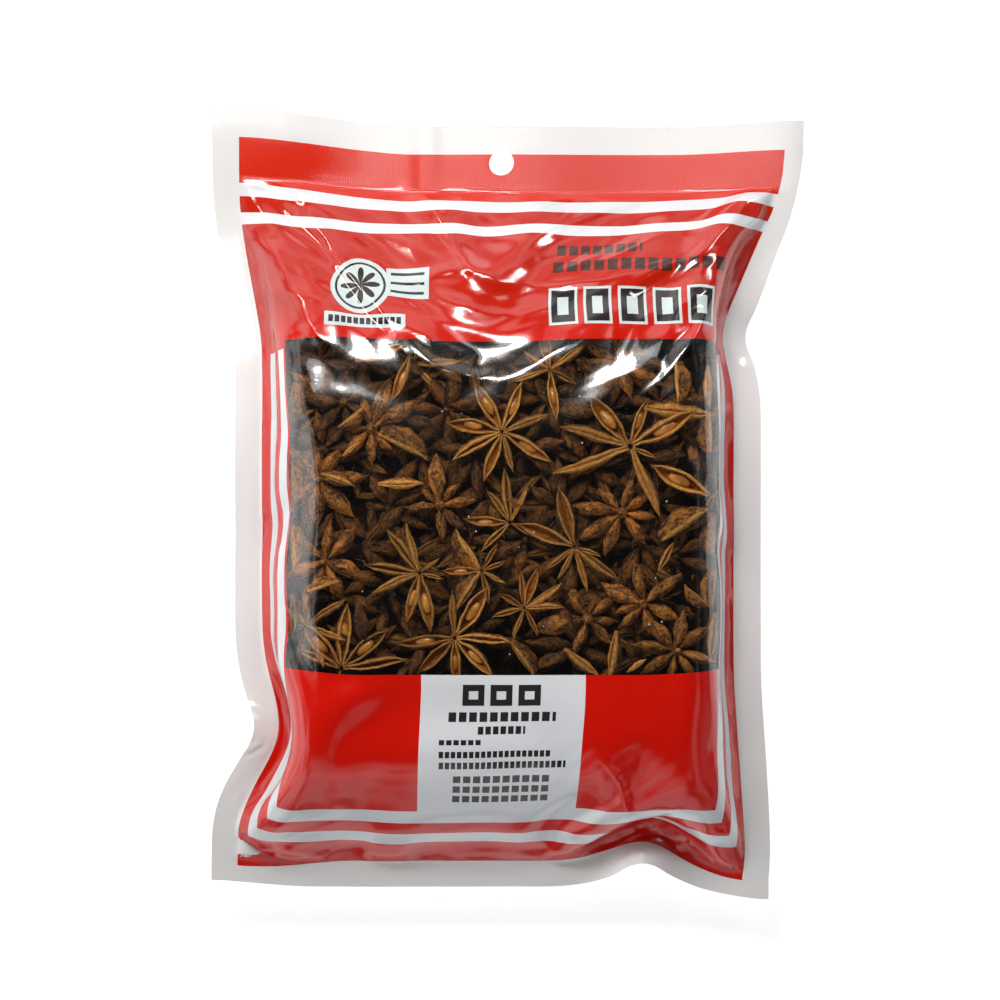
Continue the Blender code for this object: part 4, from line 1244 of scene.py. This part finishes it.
def heap_core(heap, skins):
    """The dark inside of the heap, painted shade between the pods: a closed lump whose top follows
    the film some way under it.
    """
    xs = np.arange(-CORE_HALF[0], CORE_HALF[0] + CORE_SPACING, CORE_SPACING)
    ys = np.arange(-CORE_HALF[1], CORE_HALF[1] + CORE_SPACING, CORE_SPACING)
    x, y = np.meshgrid(xs, ys)
    rows, columns = x.shape
    top = np.zeros_like(x)
    rooms = np.zeros((rows + 2, columns + 2, 2))
    for i, j in np.ndindex(x.shape):
        point, _ = heap.film(x[i, j], y[i, j])
        top[i, j] = point.z - CORE_DEPTH + heap.draw.uniform(-CORE_ROUGHNESS, CORE_ROUGHNESS) * MM
        rooms[i + 1, j + 1] = skins.room(x[i, j], y[i, j])
    rooms = np.pad(rooms[1:-1, 1:-1], ((1, 1), (1, 1), (0, 0)), "edge")
    near = np.stack([rooms[i:i + rows, j:j + columns] for i in range(3) for j in range(3)])
    low, high = near[..., 0].max(0), near[..., 1].min(0)
    top = np.clip(top, low + CORE_LEAST, np.maximum(high - CORE_COVER, low + CORE_LEAST))
    wide = high - low > CORE_COVER + CORE_LEAST
    kept = wide[:-1, :-1] & wide[1:, :-1] & wide[:-1, 1:] & wide[1:, 1:]
    every = np.stack([np.stack([x, y, top], -1), np.stack([x, y, low], -1)]).reshape(-1, 3)
    used, faces = np.unique(closed_faces(kept), return_inverse=True)
    return mesh_piece("heap_core", every[used], faces.reshape(-1, 4), core_material())


def core_material():
    """Crumbs and shadow deep between the pods."""
    n = Nodes("heap_core")
    shade = n.remap(n.noise(500.0, 4.0), 0.45, 0.75)
    inputs = {"Base Color": n.mix(shade, linear(14, 8, 5), linear(58, 34, 16)), "Roughness": 0.9}
    inputs["Specular IOR Level"] = 0.05
    return n.principled(inputs)


def scattered(draw, pitch, reach_x, reach_y):
    """Places in staggered rows over the window and a little past it, each moved by chance."""
    rows = int(reach_y / pitch)
    for row in range(-rows, rows + 1):
        columns = int(reach_x / pitch)
        for column in range(-columns, columns + 1):
            x = (column + 0.5 * (row % 2)) * pitch + draw.uniform(-0.2, 0.2) * pitch
            y = row * 0.87 * pitch + draw.uniform(-0.2, 0.2) * pitch
            yield x, y


Layer = namedtuple("Layer", "pitch reach_x reach_y face depths tone tilt")
# The stars under the top ones, which are scattered by chance. Lengths are in millimetres. The tone
# darkens each deeper layer more: painted shade.
LAYERS = (
    Layer(17.0, 70.0, 56.0, "back", (3.0, 7.5), 0.54, 28.0),
    Layer(18.5, 74.0, 56.0, "open", (7.0, 9.0), 0.36, 25.0),
)


def star_anise_pieces(skins):
    """The pods that show through the window, in three layers over a dark core."""
    heap = Heap()
    for star in STARS:
        heap.star(star)
    for item in LOOSE:
        heap.loose(item)
    for number, layer in enumerate(LAYERS, 1):
        for x, y in scattered(heap.draw, layer.pitch, layer.reach_x, layer.reach_y):
            star = Star(x, y, layer.face, heap.draw.uniform(*layer.depths), "ccccccc")
            heap.star(star, number, layer.tone, layer.tilt)
    pods = pod_material()
    pieces = [heap.piles[name].piece(name, pods, skins) for name in (*POD_PILES, "stems")]
    pieces.append(heap.piles["seeds"].piece("seeds", seed_material(), skins))
    return pieces + [heap_core(heap, skins)]


FRONT_SPACING = 0.9 * MM
BACK_SPACING = 1.5 * MM
FILM_THICKNESS = 0.12 * MM
HOLE_CENTRE = (-2.0 * MM, 118.0 * MM)
HOLE_RADIUS = 4.0 * MM


def punched(us, vs, points, flat):
    """Moves the grid points round the hang hole onto its circle, and says which cells it takes."""
    centre = np.array(HOLE_CENTRE)
    middle = np.stack(np.meshgrid((us[1:] + us[:-1]) / 2, (vs[1:] + vs[:-1]) / 2), -1)
    gone = np.linalg.norm(middle - centre, axis=-1) < HOLE_RADIUS
    touched = np.zeros(flat.shape[:2], int)
    for i, j in ((0, 0), (0, 1), (1, 0), (1, 1)):
        touched[i:i + gone.shape[0], j:j + gone.shape[1]] += gone
    ring = (touched > 0) & (touched < 4)
    off = flat[ring] - centre
    move = off * (HOLE_RADIUS / np.linalg.norm(off, axis=-1, keepdims=True) - 1)
    across = np.gradient(points, us, axis=1)[ring]
    along = np.gradient(points, vs, axis=0)[ring]
    points[ring] += across * move[:, :1] + along * move[:, 1:]
    flat[ring] += move
    return gone


def rim(kept, corner, columns):
    """The edges of the kept cells that no other kept cell shares, each as a pair of indices."""
    padded = np.pad(kept, 1)
    edges = []
    sides = {(-1, 0): (0, 1), (0, 1): (1, columns + 1), (1, 0): (columns + 1, columns),
             (0, -1): (columns, 0)}
    for (i, j), (a, b) in sides.items():
        beside = padded[1 + i:padded.shape[0] - 1 + i, 1 + j:padded.shape[1] - 1 + j]
        alone = corner[kept & ~beside]
        edges.append(np.stack([alone + a, alone + b], -1))
    return np.concatenate(edges)


def closed_faces(kept):
    """The faces of two grids, one over the other, and of a wall, all round the kept cells."""
    rows, columns = kept.shape[0] + 1, kept.shape[1] + 1
    count = rows * columns
    corner = np.arange(rows - 1)[:, None] * columns + np.arange(columns - 1)
    top = corner[kept][:, None] + np.array([0, 1, columns + 1, columns])
    edges = rim(kept, corner, columns)
    wall = np.stack([edges[:, 1], edges[:, 0], edges[:, 0] + count, edges[:, 1] + count], -1)
    return np.concatenate([top, top[:, ::-1] + count, wall])


def film_skin(name, points, flat, kept, material):
    """A closed thin skin over the kept cells of a grid of film points."""
    normals = grid_normals(points)
    offset = normals * FILM_THICKNESS / 2
    count = normals[..., 0].size
    sides = [(points + offset).reshape(-1, 3), (points - offset).reshape(-1, 3)]
    everything = np.concatenate(sides)
    used, faces = np.unique(closed_faces(kept), return_inverse=True)
    piece = mesh_piece(name, everything[used], faces.reshape(-1, 4), material)
    both = np.concatenate([normals.reshape(-1, 3), -normals.reshape(-1, 3)])[used]
    piece.data.normals_split_custom_set_from_vertices(both.tolist())
    places = np.concatenate([flat.reshape(-1, 2), flat.reshape(-1, 2)])[used] / MM
    point_values(piece, "flat", "FLOAT_VECTOR", "vector", np.pad(places, ((0, 0), (0, 1))))
    point_values(piece, "under", "FLOAT", "value", used >= count)
    return piece


def film_grid(points, old_u, old_v, spacing):
    """Grid lines, flat coordinates and film points at about this spacing."""
    us = grid_lines(POUCH_WIDTH / 2, WINDOW_U, spacing)
    vs = grid_lines(POUCH_HEIGHT / 2, WINDOW_V, spacing)
    return us, vs, np.stack(np.meshgrid(us, vs), -1), resampled(points, old_u, old_v, us, vs)


def fine_folds(points, flat):
    """The height of the narrow folds and crinkles at film points."""
    u, v = flat[..., 0], flat[..., 1]
    crinkled = smooth(v, 20 * MM, 56 * MM) + 0.5 * smooth(np.abs(u), 64 * MM, 78 * MM)
    crinkled += 0.5 * smooth(v, -92 * MM, -108 * MM)
    crinkled = np.clip(crinkled, 0.0, 1.0) * smooth(v, 107 * MM, 103 * MM)
    sharp = creases(points[..., 0], points[..., 1], SHARP_CREASES)
    return (CRINKLE * crinkles(u, v) * crinkled + sharp) * ~in_weld(u, v)


def film_pieces():
    """The printed front with its clear window, and the plain back."""
    old_u, old_v, front, back = settled_films()
    front[..., 2] += FILM_GAP
    back[..., 2] = np.maximum(back[..., 2] - FILM_GAP, FILM_THICKNESS / 2)
    front[..., 2] = np.maximum(front[..., 2], back[..., 2] + 2 * FILM_GAP)
    us, vs, flat, front = film_grid(front, old_u, old_v, FRONT_SPACING)
    front[..., 2] += fine_folds(front, flat)
    gone = punched(us, vs, front, flat)
    cells_u, cells_v = np.meshgrid((us[1:] + us[:-1]) / 2, (vs[1:] + vs[:-1]) / 2)
    window = (cells_u > WINDOW_U[0]) & (cells_u < WINDOW_U[1])
    window &= (cells_v > WINDOW_V[0]) & (cells_v < WINDOW_V[1])
    us, vs, back_flat, back = film_grid(back, old_u, old_v, BACK_SPACING)
    back[..., 2] = np.maximum(back[..., 2], FILM_THICKNESS / 2)
    back_gone = punched(us, vs, back, back_flat)
    return [
        film_skin("printed_film", front, flat, ~window & ~gone, printed_material()),
        film_skin("clear_film", front, flat, window, clear_material()),
        film_skin("back_film", back, back_flat, ~back_gone, backing_material()),
    ]


def finish_piece(piece, node):
    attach(piece, "root")
    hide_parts(node)


# ---------------------------------------------------------------- the stage


OVERHEAD = (0.0, 0.14, 0.99)
LEFTWARD = (-0.75, 0.0, 0.0)
SKY_SIDES = 0.54
SKY_TOP = 0.02
FLOOR_HALF = 3.0

Lamp = namedtuple("Lamp", "name place aim size power shade", defaults=((1, 1, 1),))
# Where each light is, what it is aimed at, its width and depth, its power in watts and its colour.
LAMPS = (
    Lamp("key", (-0.06, 0.225, 0.37), (0, 0.03, 0.02), (0.16, 0.06), 0.85),
    Lamp("halo", (-0.063, 0.233, 0.384), (0, 0.03, 0.02), (0.28, 0.11), 0.22),
    Lamp("top", (-0.15, 0.75, 0.35), (0, 0.1, 0.03), (1.4, 0.5), 1.3, (1.0, 0.96, 0.91)),
    Lamp("left", (-0.30, 0.40, 0.42), (0, 0.08, 0.03), (0.05, 0.16), 0.7, (1.0, 0.86, 0.72)),
    Lamp("right", (0.32, 0.42, 0.42), (0, 0.08, 0.03), (0.05, 0.16), 0.6),
)


def area_light(lamp):
    light = bpy.data.lights.new(lamp.name, "AREA")
    light.shape = "RECTANGLE"
    light.size, light.size_y = lamp.size
    light.energy = lamp.power
    light.color = lamp.shade
    obj = bpy.data.objects.new(lamp.name, light)
    obj.location = lamp.place
    aim = Vector(lamp.aim) - Vector(lamp.place)
    obj.rotation_euler = aim.to_track_quat("-Z", "Y").to_euler()
    bpy.context.scene.collection.objects.link(obj)


def sky():
    """A surround that is bright at the sides, most on the left, and dim overhead."""
    n = Nodes("sky", "worlds")
    direction = n.add("ShaderNodeTexCoord")
    overhead = n.vector("DOT_PRODUCT", direction, OVERHEAD, out=1)
    leftward = n.vector("DOT_PRODUCT", direction, LEFTWARD, out=1)
    uneven = n.remap(n.noise(2.6, 1.0, at=direction), 0.35, 0.65, 0.15, 1.9)
    bright = n.times(n.math("ADD", leftward, 1.0), n.times(uneven, SKY_SIDES))
    strength = n.remap(overhead, 0.66, 0.82, bright, SKY_TOP)
    background = n.add("ShaderNodeBackground", {"Color": (1, 1, 1, 1), "Strength": strength})
    bpy.context.scene.world = n.surface(background, "ShaderNodeOutputWorld")


def stage():
    """The floor, the lights, the sky and the camera."""
    corners = FLOOR_HALF * np.array([(-1, -1, 0), (1, -1, 0), (1, 1, 0), (-1, 1, 0)])
    floor = mesh_piece("floor", corners, np.array([[0, 1, 2, 3]]), floor_material())
    floor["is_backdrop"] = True
    for lamp in LAMPS:
        area_light(lamp)
    sky()
    camera = bpy.data.cameras.new("camera")
    camera.sensor_width = SENSOR_MM
    width = PIXELS / PIXELS_PER_MM * MM
    camera.lens = SENSOR_MM * CAMERA_DISTANCE / width
    obj = bpy.data.objects.new("camera", camera)
    obj.location = (*VIEW_CENTRE, CAMERA_DISTANCE + WELD_HEIGHT)
    bpy.context.scene.collection.objects.link(obj)
    bpy.context.scene.camera = obj
    bpy.context.scene.view_settings.view_transform = "Standard"


def write_sizes():
    """Works out the model's box and the dressed model's box as plain lists, and writes them
    nowhere.
    """
    boxes = [[list(corner) for corner in box] for box in (CAD_BOX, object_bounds())]


films_made = film_pieces()
for piece in films_made:
    finish_piece(piece, "pouch")
for piece in star_anise_pieces(Skins(films_made)):
    finish_piece(piece, "star_anise")
stage()
write_sizes()
